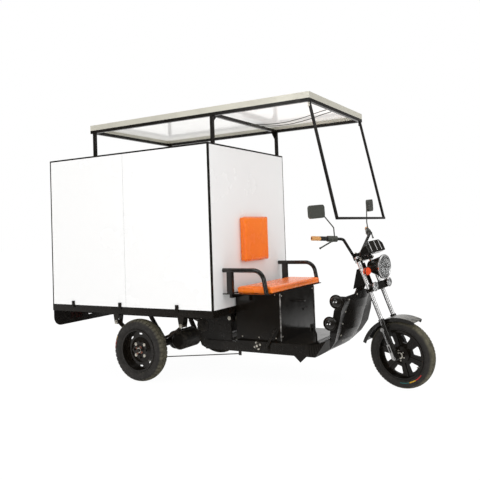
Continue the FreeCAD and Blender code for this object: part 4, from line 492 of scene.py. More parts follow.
# %% Give every node its finish
finish_of = {
    black_steel: "box_frame bed_frame chassis_rails low_frame front_frame roof_frame windshield_frame box_clamps "
                 "brake_pedal hand_lever tail_apron door_hinges",
    tube_steel: "seat_frame handlebar horns",
    gloss_steel: "seat_box battery_pack floor_pan fork_crowns rear_wheel_left rear_wheel_right front_wheel",
    under_steel: "rear_axle spring_hangers rear_dampers brake_rod",
    spring_steel: "leaf_springs",
    white_board: "side_panels_left side_panels_right front_panel top_panel door_left door_right",
    white_roof: "roof_panel",
    cream_alloy: "roof_edge",
    load_board: "floor_panel",
    shield_plastic: "leg_shield column_cover",
    guard_plastic: "front_guard",
    gloss_plastic: "instrument_pod headlamp fog_lamps door_latch",
    matt_plastic: "switches mirrors roof_leads",
    grip_rubber: "grips front_tyre rear_tyre_left rear_tyre_right",
    chrome: "fork_tubes",
    fork_legs: "fork_lower",
    lamp_clear: "headlamp_lens",
    signal_orange: "blinkers",
    signal_red: "tail_lamps",
}
slot_of = {
    "chrome": (chrome, zinc, rust, reflector, mirror_glass), "lamp_glass": (lamp_clear, pale_trim_and_glint),
    "lamp_amber": (signal_orange,), "plastic_black": (gloss_plastic, matt_plastic, dial_black, gloss_steel),
    "frame_black": (black_steel, under_steel, painted_highlight_edge), "roof_aluminium": (cream_alloy,),
}
slot_of = {material: slot for slot, materials in slot_of.items() for material in materials}
dressed = 0
for material, names in finish_of.items():
    for name in names.split():
        nodes[name].data.materials.clear()
        nodes[name].data.materials.append(material)
        dressed += 1
print("nodes with a finish", dressed, "of", len(nodes))

# %% [markdown]
# Pieces are modelled with bmesh and laid into place by a matrix that goes into the mesh, so that
# each object itself stays at the origin. `piece` does that last step for all of them and hands the
# object to the body that carries it. `facing` makes such a matrix, and `touch` shoots a line at a CAD
# node to find the surface that a piece sits on.

# %% Turning a bmesh into a piece
merge_distance = 1e-6


def piece(name, mesh, material, body, place=None, smooth=35.0):
    """Makes an object of a bmesh, puts it in place, shades it and lets it ride on a body."""
    if place is not None:
        bmesh.ops.transform(mesh, matrix=place, verts=mesh.verts)
    bmesh.ops.remove_doubles(mesh, verts=mesh.verts, dist=merge_distance)
    bmesh.ops.recalc_face_normals(mesh, faces=mesh.faces)
    data = bpy.data.meshes.new(name)
    mesh.to_mesh(data)
    mesh.free()
    made = bpy.data.objects.new(name, data)
    scene.collection.objects.link(made)
    data.materials.append(material)
    for face in data.polygons:
        face.use_smooth = smooth > 0
    if smooth > 0:
        data.set_sharp_from_angle(angle=math.radians(smooth))
    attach(made, body)
    print(name, "on", body, len(data.polygons), "faces")
    return made


def facing(point, direction, across=(0, 0, 1)):
    """A matrix that puts +Z of a new piece on a direction, at a point."""
    z = Vector(direction).normalized()
    x = Vector(across).cross(z)
    if x.length < 1e-4:
        x = Vector((1, 0, 0)).cross(z)
    x.normalize()
    return Matrix.Translation(Vector(point)) @ Matrix((x, z.cross(x), z)).transposed().to_4x4()


def touch(name, start, direction):
    """The point and the outward direction where a line first meets a CAD node."""
    hit, point, normal, _ = nodes[name].ray_cast(Vector(start), Vector(direction).normalized())
    return (point, normal) if hit else None


# %% [markdown]
# The wheels get their places from their joints. The front wheel is parked turned to the right with
# the steering, so its place has the steering head's directions.

# %% Where the wheels are
def wheel_place(body):
    """Places a wheel's own piece: +Y along the axle, +Z up, the hub at the origin."""
    made = head.copy() if body == "front_wheel" else Matrix.Identity(4)
    made.translation = Vector(joints[body + "_spin"]["pos_m"])
    return made


wheels = {body: wheel_place(body) for body in ("front_wheel", "rear_wheel_left", "rear_wheel_right")}
print("front hub at", tuple(round(v, 3) for v in wheels["front_wheel"].translation))

# %% [markdown]
# A tyre is one outline spun round the axle. The outline carries the crown, the shoulders, the
# bulging walls and the beads, and its crown is already divided where the grooves will run. After
# the spin the groove faces are extruded and drawn in towards the axle, which leaves the blocks of
# the tread standing at the tyre's full radius.

# %% Outline of a tyre
shoulder_share, bead_share = 0.76, 0.72  # of half the tyre's width


def arc_through(a, b, c, count):
    """Points along the circle from a through b to c."""
    (ax, ay), (bx, by), (cx, cy) = a, b, c
    aa, bb, cc = ax * ax + ay * ay, bx * bx + by * by, cx * cx + cy * cy
    d = 2 * (ax * (by - cy) + bx * (cy - ay) + cx * (ay - by))
    ux = (aa * (by - cy) + bb * (cy - ay) + cc * (ay - by)) / d
    uy = (aa * (cx - bx) + bb * (ax - cx) + cc * (bx - ax)) / d
    start, mid, end = (math.atan2(y - uy, x - ux) for x, y in (a, b, c))
    sweep = (end - start) % (2 * math.pi)
    if (mid - start) % (2 * math.pi) > sweep:
        sweep -= 2 * math.pi
    radius = math.hypot(ax - ux, ay - uy)
    return [(ux + radius * math.cos(start + sweep * i / count), uy + radius * math.sin(start + sweep * i / count))
            for i in range(count + 1)]


def tyre_outline(radius, width, rim, bands):
    """One side of the section, from the middle of the crown to the bead."""
    wall = radius - rim
    shoulder, shoulder_r, bead = width / 2 * shoulder_share, radius - wall * 0.11, width / 2 * bead_share
    crown = [(radius - (radius - shoulder_r) * band * band, shoulder * band) for band in bands]
    side = arc_through((shoulder_r, shoulder), (rim + wall * 0.45, width / 2), (rim + 0.006, bead), 9)
    return crown + side[1:] + [(rim, bead)]


# %% A spun outline, and the tread
def spun(outline, axis, steps, closed=False):
    """Spins an outline once round an axis, with its seam and poles merged and its faces outwards."""
    mesh = bmesh.new()
    line = [mesh.verts.new(point) for point in outline]
    for a, b in zip(line, line[1:] + line[:1] if closed else line[1:]):
        mesh.edges.new((a, b))
    bmesh.ops.spin(mesh, geom=mesh.verts[:] + mesh.edges[:], cent=(0, 0, 0), axis=axis, dvec=(0, 0, 0),
                   angle=2 * math.pi, steps=steps, use_merge=True, use_duplicate=False)
    bmesh.ops.remove_doubles(mesh, verts=mesh.verts, dist=merge_distance)
    bmesh.ops.recalc_face_normals(mesh, faces=mesh.faces)
    return mesh


steps_per_block = 4


def tyre_mesh(radius, width, rim, bands, blocks, groove, depth):
    """A tyre about the Y axis; groove(across, step, left) says which faces of the crown sink."""
    half = tyre_outline(radius, width, rim, bands)
    steps = blocks * steps_per_block
    mesh = spun([(r, y, 0) for r, y in [(r, -y) for r, y in reversed(half[1:])] + half], (0, 1, 0), steps, True)
    sunk = []
    for face in mesh.faces:
        middle = face.calc_center_median()
        if math.hypot(middle.x, middle.z) > radius - (radius - rim) * 0.30:
            step = int((math.atan2(middle.z, middle.x) % (2 * math.pi)) / (2 * math.pi) * steps)
            if groove(abs(middle.y) / (width / 2 * shoulder_share), step % steps_per_block, middle.y > 0):
                sunk.append(face)
    grown = bmesh.ops.extrude_face_region(mesh, geom=sunk)["geom"]
    bmesh.ops.delete(mesh, geom=[f for f in sunk if f.is_valid], context="FACES")
    for vert in (g for g in grown if isinstance(g, bmesh.types.BMVert)):
        reach = math.hypot(vert.co.x, vert.co.z)
        vert.co.x *= (reach - depth) / reach
        vert.co.z *= (reach - depth) / reach
    return mesh


# %% Where the grooves run
def rear_groove(across, step, left):
    """Two rings round the middle rib, and deep slots that cut the shoulders into blocks."""
    if 0.26 < across < 0.38:
        return True
    if across < 0.26:
        return step == (1 if left else 3)
    return step == 0 or (0.62 < across < 0.72 and step == 1)


def front_groove(across, step, left):
    """Closer blocks in five rows, each row shifted against the next."""
    if 0.14 < across < 0.22 or 0.50 < across < 0.60:
        return True
    if across < 0.14:
        return step == 2
    return step == (0 if across < 0.5 else 2)


# %% [markdown]
# Tyre rubber is nearly black. Towards the tread and on the shoulders it is tan, partly with dust and
# partly as a painted highlight, and fine rings are moulded in the wall. Each tyre also has short
# painted arcs of colour on its outer wall. The material works in the wheel's own directions, which a
# Mapping node gives it, so that the rings and the arcs turn with the wheel.

# %% Rubber for one wheel
def between(tree, value, low, high):
    """1 where a value lies between two numbers, else 0."""
    return product(tree, maths(tree, "GREATER_THAN", value, low), maths(tree, "LESS_THAN", value, high))


def tyre_rubber(name, place, side, rim, radius, arcs):
    """Tyre rubber with rings round this wheel's hub; arcs are (start, end, low, high, colour)."""
    material = finish(name, grey(0.014, 0.1), grey(0.026, 0.15), 24.0, 0.7, (0.5, 0.72), (900.0, 0.35, 0.0),
                      dust=0.2, Specular_IOR_Level=0.35)
    tree, x, y, z = place_in(material, place)
    shade = tree.nodes["Principled BSDF"].inputs["Base Color"]
    reach = maths(tree, "SQRT", maths(tree, "ADD", product(tree, x, x), product(tree, z, z)))
    # tan towards the tread: partly dust, partly a painted highlight on the outer rubber
    tread = product(tree, remap(tree, reach, radius - 0.022, radius - 0.004),
                    remap(tree, noise(tree, 26.0, 6.0), 0.3, 0.7, 0.25, 0.8))
    last = blend_colour(tree, tread, shade.links[0].from_socket, (0.17, 0.155, 0.10, 1))
    angle = maths(tree, "ARCTAN2", z, x)
    outer = maths(tree, "GREATER_THAN", product(tree, y, side), 0.0)
    worn = remap(tree, noise(tree, 160.0, 4.0), 0.35, 0.5, 0.45, 1.0)
    for start, end, low, high, colour in arcs:
        mask = product(tree, between(tree, angle, math.radians(start), math.radians(end)),
                       between(tree, reach, low, high), outer, worn)
        last = blend_colour(tree, mask, last, colour)
    tree.links.new(last, shade)
    rings = maths(tree, "SINE", product(tree, reach, 1500.0))
    wall = product(tree, remap(tree, reach, rim + 0.010, rim + 0.014),
                   remap(tree, reach, rim + 0.030, rim + 0.034, 1.0, 0.0))
    add_bump(material, product(tree, rings, wall), 0.0015, 0.5)
    return material


# %% Build the three tyres
teal, amber, red = (0.02, 0.16, 0.15, 1), (0.75, 0.42, 0.03, 1), (0.62, 0.03, 0.03, 1)
front_arcs = [(-113, -93, 0.197, 0.202, teal), (-92, -76, 0.196, 0.203, amber), (-75, -58, 0.197, 0.203, red)]
rear_arcs = [(152, 160, 0.226, 0.231, amber), (162, 178, 0.225, 0.231, red)]
front_tread = ((0, 0.14, 0.22, 0.5, 0.6, 0.85, 1.0), 64, front_groove, 0.003)
rear_tread = ((0, 0.26, 0.38, 0.62, 0.72, 1.0), 44, rear_groove, 0.006)
for name, side, size, tread, arcs in (
        ("front_tyre", -1, (0.248, 0.096, 0.176), front_tread, front_arcs),
        ("rear_tyre_right", -1, (0.250, 0.106, 0.165), rear_tread, rear_arcs),
        ("rear_tyre_left", 1, (0.250, 0.106, 0.165), rear_tread, rear_arcs)):
    radius, width, rim = size
    body = name.replace("tyre", "wheel")
    rubber = tyre_rubber(name + "_rubber", wheels[body], side, rim, radius, arcs)
    treaded = piece(name + "_treaded", tyre_mesh(*size, *tread), rubber, body, wheels[body], 30)
    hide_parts(name)

# %% [markdown]
# The bench and the back pad are flat boards with foam under orange vinyl. Real vinyl is pulled
# tight, so the pads are only slightly crowned. They start as a bevelled block a little smaller than
# the space that is kept for them, are remeshed into an even net, and a short cloth simulation with
# air pressure swells them against their own seams.

# %% A padded block swollen by a cloth simulation
def rounded_block(size, corner, segments=2, middle=(0, 0, 0)):
    """A block with rounded edges."""
    mesh = bmesh.new()
    bmesh.ops.create_cube(mesh, size=1.0)
    bmesh.ops.scale(mesh, vec=size, verts=mesh.verts)
    bmesh.ops.translate(mesh, vec=middle, verts=mesh.verts)
    bmesh.ops.bevel(mesh, geom=mesh.edges[:], offset=corner, segments=segments, profile=0.5, affect="EDGES",
                    material=-1)
    return mesh


def swell(pad, voxel, pressure=4.0, furthest=0.005, frames=20):
    """Remeshes the pad, inflates it as cloth and keeps every point near where it began."""
    bpy.context.view_layer.objects.active = pad
    remesh = pad.modifiers.new("net", "REMESH")
    remesh.mode, remesh.voxel_size = "VOXEL", voxel
    bpy.ops.object.modifier_apply(modifier=remesh.name)
    start = [v.co.copy() for v in pad.data.vertices]
    cloth = pad.modifiers.new("cloth", "CLOTH")
    cloth.settings.use_pressure = True
    cloth.settings.uniform_pressure_force = pressure
    cloth.settings.effector_weights.gravity = 0
    cloth.point_cache.frame_start, cloth.point_cache.frame_end = 1, frames
    for step in range(1, frames + 1):
        scene.frame_set(step)
    moved = pad.evaluated_get(bpy.context.evaluated_depsgraph_get()).to_mesh()
    swollen = [v.co.copy() for v in moved.vertices]
    pad.modifiers.remove(cloth)
    for vert, a, b in zip(pad.data.vertices, start, swollen):
        move = b - a
        vert.co = a + move * min(1.0, furthest / max(move.length, 1e-9))
    scene.frame_set(1)


# %% [markdown]
# After the simulation the seams are pressed in: a shallow groove runs round the pad's edge where the
# top piece is sewn to the side band, and the vinyl puckers a little at it. The grain is a net of
# small cells, with soft creases across the seat where people slide on.

# %% Orange vinyl
orange_vinyl = finish("orange_vinyl", (1.0, 0.22, 0.015, 1), (0.96, 0.18, 0.012, 1), 5.0, 0.6, (0.20, 0.32),
                      (260.0, 0.0, 0.0), Specular_IOR_Level=0.45)
slot_of[orange_vinyl] = "orange_leather"
tree = orange_vinyl.node_tree
cells = node(tree, "TexVoronoi", {"Vector": here(tree), "Scale": 520.0, "Smoothness": 0.6}, feature="SMOOTH_F1")
creases = product(tree, noise(tree, 9.0, 3.0, Distortion=1.2), 0.7)
add_bump(orange_vinyl, maths(tree, "ADD", cells.outputs["Distance"], creases), 0.0006, 0.28)


def press_seam(pad, axis, level, depth=0.0022, width=0.006):
    """Draws the pad in along a line round it, at one level of an axis."""
    middle = sum((v.co for v in pad.data.vertices), Vector()) / len(pad.data.vertices)
    for vert in pad.data.vertices:
        near = 1 - abs(vert.co[axis] - level) / width
        if near > 0:
            out = vert.co - middle
            out[axis] = 0
            if out.length > 1e-6:
                vert.co -= out.normalized() * depth * near * near


# %% Seat cushion and back pad
inset, pad_corner, seam_drop = 0.003, 0.008, 0.011
for name, voxel, axis in (("seat_cushion", 0.006, 2), ("back_rest", 0.005, 0)):
    low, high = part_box(name)
    block = rounded_block(high - low - Vector((inset, inset, inset)) * 2, pad_corner, 3, (low + high) / 2)
    pad = piece(name + "_padded", block, orange_vinyl, "chassis")
    swell(pad, voxel)
    press_seam(pad, axis, high[axis] - seam_drop)
    for face in pad.data.polygons:
        face.use_smooth = True
    rounded = pad.modifiers.new("rounded", "SUBSURF")
    rounded.levels = rounded.render_levels = 1
    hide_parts(name)
    print(pad.name, len(pad.data.polygons), "faces", tuple(round(v, 3) for v in pad.dimensions))

# %% [markdown]
# Most of the remaining pieces are small and turned: screws, nuts, rings, reflectors. One helper spins
# an outline of radius and height, another lays copies of small shapes at many places.

# %% Turned shapes, nuts and screws
def lathe(outline, steps=24, closed=False):
    """Spins (radius, height) points round +Z; a closed outline makes a ring."""
    return spun([(r, 0, z) for r, z in outline], (0, 0, 1), steps, closed)


def together(shapes, places=(Matrix.Identity(4),)):
    """One mesh with a copy of each shape at every place; the shapes themselves are used up."""
    whole = bmesh.new()
    for shape in shapes:
        data = bpy.data.meshes.new("shape")
        shape.to_mesh(data)
        shape.free()
        for place in places:
            count = len(whole.verts)
            whole.from_mesh(data)
            whole.verts.ensure_lookup_table()
            bmesh.ops.transform(whole, matrix=place, verts=whole.verts[count:])
        bpy.data.meshes.remove(data)
    return whole


def hex_nut(width, height, end=0.0):
    """A hexagon with worn corners on a washer; end is how far a thread stands out of it."""
    corner = width / math.sqrt(3)
    parts = [lathe([(0, -0.001), (width * 0.85, -0.001), (width * 0.85, height * 0.2), (0, height * 0.2)], 20),
             lathe([(0, height * 0.1), (corner, height * 0.1), (corner, height * 0.85), (corner * 0.88, height),
                    (0, height)], 6)]
    if end:
        parts.append(lathe([(0, height * 0.5), (width * 0.28, height * 0.5), (width * 0.28, height + end * 0.8),
                            (width * 0.22, height + end), (0, height + end)], 12))
    return together(parts)


def screw_head(radius, height):
    """A domed screw head with a round recess."""
    return lathe([(0, -0.0005), (radius, -0.0005), (radius * 0.94, height * 0.5), (radius * 0.7, height * 0.9),
                  (radius * 0.42, height), (radius * 0.36, height * 0.45), (0, height * 0.4)], 14)


# %% [markdown]
# Each place of a small piece comes from a line that is shot at the CAD node which carries it, so that
# a screw head sits on its sheet and stands square to it. The vehicle has two like sides, so the lines
# are written for its left and `both_sides` adds the others.

# %% Finding the surface
missed = []
beside, before, behind, above = 0.7, 1.5, -2.0, 1.3  # where lines start, well clear of the surface


def both_sides(points):
    """The points of the right side, which have -Y, and then those of the left."""
    return [(x, side * y, z) for side in (-1, 1) for x, y, z in points]


def seats(name, starts, direction=None, on=None, sink=0.0):
    """Places where lines first meet a node, with +Z standing out of the surface.

    Without a direction a line runs straight in from its own side. Starts and direction may be given
    in the directions of another place."""
    found = []
    for start in starts:
        way = Vector(direction or (0, -math.copysign(1, start[1]), 0))
        start = Vector(start)
        if on is not None:
            start, way = on @ start, on.to_3x3() @ way
        at = touch(name, start, way)
        if at is None:
            missed.append((name, tuple(round(v, 3) for v in start)))
        else:
            found.append(facing(at[0] - at[1] * sink, at[1]))
    return found


def fixings(name, shape, places, material, body="chassis"):
    """A piece with one copy of a shape at each place."""
    piece(name, together([shape], places), material, body)
    print(len(places), "places")


# %% [markdown]
# Handles and U-bolts are bent from round rod. A disc is extruded along the straight parts and spun
# round the bends, and what it sweeps over stays behind as the rod. The cord of vinyl that is sewn into
# the seam round each pad's face is the same rod, led once round a rectangle and closed on itself.

# %% A bent rod
def bent_rod(wire, moves, closed=False, sides=10):
    """A round rod that starts upwards and turns in the plane X = 0; a move is a length, or (radius, angle)."""
    mesh = bmesh.new()
    bmesh.ops.create_circle(mesh, cap_ends=True, segments=sides, radius=wire)
    first, last, at, way = mesh.faces[:], mesh.faces[:], Vector(), Vector((0, 0, 1))
    for move in moves:
        if isinstance(move, tuple):
            radius, angle = move
            centre = at + Vector((0, way.z, -way.y)) * radius
            grown = bmesh.ops.spin(mesh, geom=last, cent=centre, axis=(-1, 0, 0), dvec=(0, 0, 0), angle=angle,
                                   steps=max(4, round(angle * 4)), use_merge=False, use_duplicate=False)["geom_last"]
            turned = Matrix.Rotation(-angle, 3, "X")
            at, way = centre + turned @ (at - centre), turned @ way
        else:
            grown = bmesh.ops.extrude_face_region(mesh, geom=last)["geom"]
            bmesh.ops.delete(mesh, geom=[f for f in last if f.is_valid and f not in first], context="FACES_ONLY")
            bmesh.ops.translate(mesh, vec=way * move, verts=[g for g in grown if isinstance(g, bmesh.types.BMVert)])
            at = at + way * move
        last = [g for g in grown if isinstance(g, bmesh.types.BMFace)]
    if closed:
        bmesh.ops.delete(mesh, geom=[f for f in first + last if f.is_valid], context="FACES_ONLY")
    return mesh


def u_bolt(width, drop, wire):
    """A rod with two legs down from a half ring, its top at the origin."""
    mesh = bent_rod(wire, (drop - width / 2, (width / 2, math.pi), drop - width / 2))
    bmesh.ops.translate(mesh, vec=(0, -width / 2, -drop), verts=mesh.verts)
    return mesh


# %% Piping round the pads
def piping(width, height, corner=0.012, wire=0.0028):
    """A closed loop of cord in the plane X = 0, centred on the origin."""
    turn = (corner, math.pi / 2)
    side, top = height - 2 * corner, width - 2 * corner
    mesh = bent_rod(wire, (side, turn, top, turn, side, turn, top, turn), closed=True)
    bmesh.ops.translate(mesh, vec=(0, -width / 2, -side / 2), verts=mesh.verts)
    return mesh


piping_inset = 0.0085
for name, axis, up in (("back_rest", 0, 2), ("seat_cushion", 2, 0)):
    low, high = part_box(name)
    place = Matrix.Translation((low + high) / 2)
    place.translation[axis] = high[axis] - seam_drop
    if axis == 2:
        place = place @ Matrix.Rotation(-math.pi / 2, 4, "Y")
    loop = piping(high.y - low.y - piping_inset, high[up] - low[up] - piping_inset)
    piece(name + "_piping", loop, orange_vinyl, "chassis", place)

# %% [markdown]
# The rear wheels are pressed discs on a rusty square hub, held by four bright nuts. The valve stands
# in the rim, tilted a little. The front wheel is cast, with a ring of small screws and a bearing cap
# on each side.

# %% Rear wheel nuts, hubs and valves
def ring_of(count, radius, first=0.0):
    """Points round a wheel's hub, in the wheel's own directions."""
    turns = [math.radians(first + 360 / count * i) for i in range(count)]
    return [(math.cos(a) * radius, 0, math.sin(a) * radius) for a in turns]


def valve_place(wheel, angle, radius, across, out, back):
    """A valve at an angle round a wheel, leaning out of it and back towards the hub."""
    away = Vector((math.cos(angle), 0, math.sin(angle)))
    outward = Vector((0, math.copysign(1, across), 0))
    return facing(wheel @ (away * radius + Vector((0, across, 0))), wheel.to_3x3() @ (outward * out - away * back))


clear_of_wheel, hub_edge = 0.2, 0.032
valve_foot = [(0, -0.002), (0.006, -0.002), (0.0055, 0.004), (0.0038, 0.007)]
for body, side in (("rear_wheel_right", -1), ("rear_wheel_left", 1)):
    place = wheels[body]
    starts = [(x, side * clear_of_wheel, z) for x, y, z in ring_of(4, 0.062, 45)]
    nuts = seats(body, starts, (0, -side, 0), place, 0.011)
    fixings(body + "_nuts", hex_nut(0.025, 0.013, 0.004), nuts, zinc, body)
    disc_y = touch(body, place @ Vector((hub_edge, side * clear_of_wheel, 0)), (0, -side, 0))[0].y
    square = (facing((place.translation.x, disc_y, place.translation.z), (0, side, 0))
              @ Matrix.Rotation(math.radians(12), 4, "Z"))
    fixings(body + "_square", rounded_block((0.056, 0.056, 0.0064), 0.0012), [square], rust, body)
    fixings(body + "_centre", hex_nut(0.024, 0.005), [square @ Matrix.Translation((0, 0, 0.003))], zinc, body)
    stem = lathe(valve_foot + [(0.0036, 0.024), (0.0046, 0.025), (0.0046, 0.034), (0.0036, 0.036), (0, 0.036)], 14)
    fixings(body + "_valve", stem, [valve_place(place, -0.6, 0.146, side * 0.002, 0.8, 0.5)], zinc, body)

# %% Front hub
body, place, cap_radius = "front_wheel", wheels["front_wheel"], 0.020
screws, caps = [], []
for side in (-1, 1):
    starts = [(x, side * clear_of_wheel, z) for x, y, z in ring_of(6, 0.036, 20)]
    screws += seats(body, starts, (0, -side, 0), place)
    at = touch(body, place @ Vector((cap_radius, side * clear_of_wheel, 0)), place.to_3x3() @ Vector((0, -side, 0)))
    caps.append(facing(at[0] - place.to_3x3() @ Vector((cap_radius, 0, 0)), at[1]))
fixings("front_hub_screws", screw_head(0.0055, 0.004), screws, zinc, body)
cap_ring = lathe([(0.016, 0), (0.025, 0), (0.025, 0.002), (0.022, 0.0035), (0.016, 0.0035)], 32, True)
fixings("front_hub_caps", cap_ring, caps, zinc, body)
stem = lathe(valve_foot + [(0.0036, 0.02), (0.0046, 0.021), (0.0046, 0.03), (0, 0.031)], 14)
fixings("front_valve", stem, [valve_place(place, -0.9, 0.158, -0.004, 0.9, 0.4)], zinc, body)

# %% [markdown]
# The headlamp is a deep bowl with a chrome ring round a domed glass. Behind the glass is a reflector
# of flat facets, which a lathe with few steps gives for free, and the bulb in its middle. The
# fog lamps are the same in small. The lamps look straight ahead, though the head leans back, so
# they stand at a slant to its axis.

# %% Headlamp
lean_back = math.radians(20.3)
ahead = (head_forward * math.cos(lean_back) - head_up * math.sin(lean_back)).normalized()


def on_head(forward, left, up):
    """A point of the steering head in the scene."""
    return head @ Vector((forward, left, up))


mouth = facing(on_head(0.174, 0, 0.881), ahead)
bezel = lathe([(0.0765, -0.006), (0.0895, -0.006), (0.0915, -0.002), (0.0915, 0.003), (0.0885, 0.007),
               (0.083, 0.008), (0.0775, 0.005), (0.0765, 0.001)], 64, True)
piece("headlamp_bezel", bezel, chrome, "steering", mouth)
dish = lathe([(0.0735, -0.0015), (0.071, -0.022), (0.064, -0.050), (0.052, -0.078), (0.036, -0.100), (0.016, -0.110),
              (0.012, -0.108), (0.033, -0.097), (0.049, -0.075), (0.061, -0.048), (0.068, -0.021),
              (0.0705, -0.0015)], 20, True)
piece("headlamp_reflector", dish, reflector, "steering", mouth, 20)
bulb = together([
    lathe([(0, -0.109), (0.015, -0.109), (0.015, -0.096), (0.010, -0.092), (0, -0.092)], 20),
    lathe([(0, -0.093), (0.008, -0.093), (0.0095, -0.080), (0.0095, -0.060), (0.006, -0.052), (0, -0.050)], 18)])
piece("headlamp_bulb", bulb, pale_trim_and_glint, "steering", mouth)
tree, x, y, z = place_in(lamp_clear, head)
flutes = [maths(tree, "SINE", product(tree, value, per_metre)) for value, per_metre in ((y, 420.0), (z, 200.0))]
add_bump(lamp_clear, maths(tree, "ADD", *flutes), 0.003, 0.45)

# %% Fog lamps and turn signals
def lamp_places(forward, left, up):
    """The places of a pair of lamps on the steering head."""
    return [facing(on_head(forward, side * left, up), ahead) for side in (-1, 1)]


fog_places, signal_places = lamp_places(0.104, 0.107, 0.767), lamp_places(0.108, 0.146, 0.890)
fog_ring = lathe([(0.0285, -0.004), (0.0335, -0.004), (0.0355, 0.0), (0.0345, 0.004), (0.031, 0.0055),
                  (0.0285, 0.003)], 40, True)
fixings("fog_rings", fog_ring, fog_places, chrome, "steering")
fog_dish = lathe([(0.0275, -0.0005), (0.024, -0.007), (0.016, -0.0125), (0.006, -0.0135), (0.006, -0.006),
                  (0.003, -0.004), (0, -0.0035)], 16)
fixings("fog_reflectors", fog_dish, fog_places, reflector, "steering")
fog_glass = lathe([(0, 0.0045), (0.014, 0.0038), (0.0284, 0.0008), (0.0284, -0.0005), (0.014, 0.0022),
                   (0, 0.003)], 32)
fixings("fog_glass", fog_glass, fog_places, lamp_clear, "steering")
collar = lathe([(0.0292, -0.004), (0.0305, -0.004), (0.0315, -0.0015), (0.0315, 0.0015), (0.0305, 0.004),
                (0.0292, 0.004)], 40, True)
fixings("signal_collars", collar, signal_places, gloss_plastic, "steering")
rings = [lathe([(0.0245, 0.0158), (0.026, 0.0155), (0.0262, 0.0135), (0.0247, 0.0135)], 32, True)]
rings += [lathe([(r - 0.0008, h - 0.0015), (r + 0.0007, h - 0.0015), (r + 0.0004, h + 0.0008),
                 (r - 0.0008, h + 0.0008)], 32, True)
          for r, h in ((0.0195, 0.0215), (0.013, 0.0259), (0.006, 0.0283))]
fixings("signal_rings", together(rings), signal_places, signal_orange, "steering")

# %% [markdown]
# The instrument pod is a wedge of shiny black plastic with thin pale lines down its front and a pale
# strip under its nose. On the rider's side are three round dials. A texture could paint their ticks
# and numbers, but thin solids stay sharp from close by: a tick is one small block, repeated round a
# ring, and the numbers are text turned into a mesh.

# %% Lines on the instrument pod
in_front = 0.35
lines = []
for y in (-0.080, 0.0, 0.065):
    for s in (1.022, 1.036, 1.050, 1.064, 1.078):
        found = touch("instrument_pod", on_head(in_front, y, s), -head_forward)
        if found:
            lines.append(facing(*found, head_left))
fixings("pod_lines", rounded_block((0.018, 0.0055, 0.0022), 0.0009), lines, pale_trim_and_glint, "steering")
piece("pod_nose", rounded_block((0.040, 0.118, 0.006), 0.0025), pale_trim_and_glint, "steering",
      head @ Matrix.Translation((0.146, 0.030, 0.9995)))

# %% Dials on the rider's side
first_mark, last_mark = math.radians(225), math.radians(-45)  # where the scale begins and ends
for number, (y, size) in enumerate(((-0.062, 0.026), (0.0, 0.034), (0.062, 0.026))):
    place = facing(*touch("instrument_pod", on_head(0.118, y, above), -head_up), head_left)
    rim = lathe([(size - 0.004, -0.001), (size, -0.001), (size, 0.003), (size - 0.0015, 0.0045),
                 (size - 0.004, 0.002)], 40, True)
    piece("dial_rim_%d" % number, rim, chrome, "steering", place)
    face = lathe([(0, -0.001), (size - 0.0038, -0.001), (size - 0.0038, 0.0006), (0, 0.0006)], 40)
    piece("dial_face_%d" % number, face, dial_black, "steering", place)
    marks = [place @ Matrix.Rotation(first_mark + (last_mark - first_mark) * i / 10, 4, "Z")
             @ Matrix.Translation((size - 0.0075, 0, 0.0009)) for i in range(11)]
    tick = rounded_block((0.0045, 0.0009, 0.0006), 0.0002, 1)
    piece("dial_ticks_%d" % number, together([tick], marks), pale_trim_and_glint, "steering")
    hand = rounded_block((size * 0.62, 0.0014, 0.0008), 0.0003, 1)
    bmesh.ops.translate(hand, vec=(size * 0.24, 0, 0.0016), verts=hand.verts)
    piece("dial_hand_%d" % number, hand, signal_orange, "steering", place @ Matrix.Rotation(first_mark, 4, "Z"))
    if number == 1:
        middle_dial, number_ring = place, size - 0.014

# %% Numbers on the middle dial
digits = []
for i in range(6):
    angle = first_mark + (last_mark - first_mark) * i / 5
    words = bpy.data.curves.new("number", "FONT")
    words.body, words.size, words.extrude = str(i * 10), 0.0062, 0.0002
    words.align_x, words.align_y = "CENTER", "CENTER"
    holder = bpy.data.objects.new("number", words)
    flat = bpy.data.meshes.new_from_object(holder)
    digits.append(bmesh.new())
    digits[-1].from_mesh(flat)
    bmesh.ops.translate(digits[-1], vec=(math.cos(angle) * number_ring, math.sin(angle) * number_ring, 0.0010),
                        verts=digits[-1].verts)
    bpy.data.objects.remove(holder)
    bpy.data.curves.remove(words)
    bpy.data.meshes.remove(flat)
piece("dial_numbers", together(digits), pale_trim_and_glint, "steering", middle_dial, 0)

# %% [markdown]
# At the head of the fork are the nuts on the tubes, the large steerer nut and the clamp bolts of the
# handlebar. The switch housings carry push buttons and are closed with small screws, and the mirrors
# have their glass on the rider's side. The lines that find their places run along the head's own
# directions, because the whole assembly is raked and parked turned.

# %% Nuts at the steering head
down, forward, backward = (0, 0, -1), (1, 0, 0), (-1, 0, 0)
fork_half, bar_forward = 0.092, -0.012
fixings("fork_caps", hex_nut(0.026, 0.010), seats("fork_tubes", both_sides([(0.038, fork_half, above)]), down, head),
        chrome, "steering")
fixings("steerer_nut", hex_nut(0.030, 0.009, 0.004), seats("fork_crowns", [(0, 0, above)], down, head), zinc,
        "steering")
clamps = [(bar_forward + e, y, above) for y in (-0.034, 0.034) for e in (-0.017, 0.017)]
fixings("clamp_bolts", hex_nut(0.010, 0.006), seats("handlebar", clamps, down, head), zinc, "steering")
crowns = both_sides([(in_front, fork_half, s) for s in (0.754, 0.990)])
fixings("crown_bolts", hex_nut(0.011, 0.006, 0.003), seats("fork_crowns", crowns, backward, head), zinc, "steering")

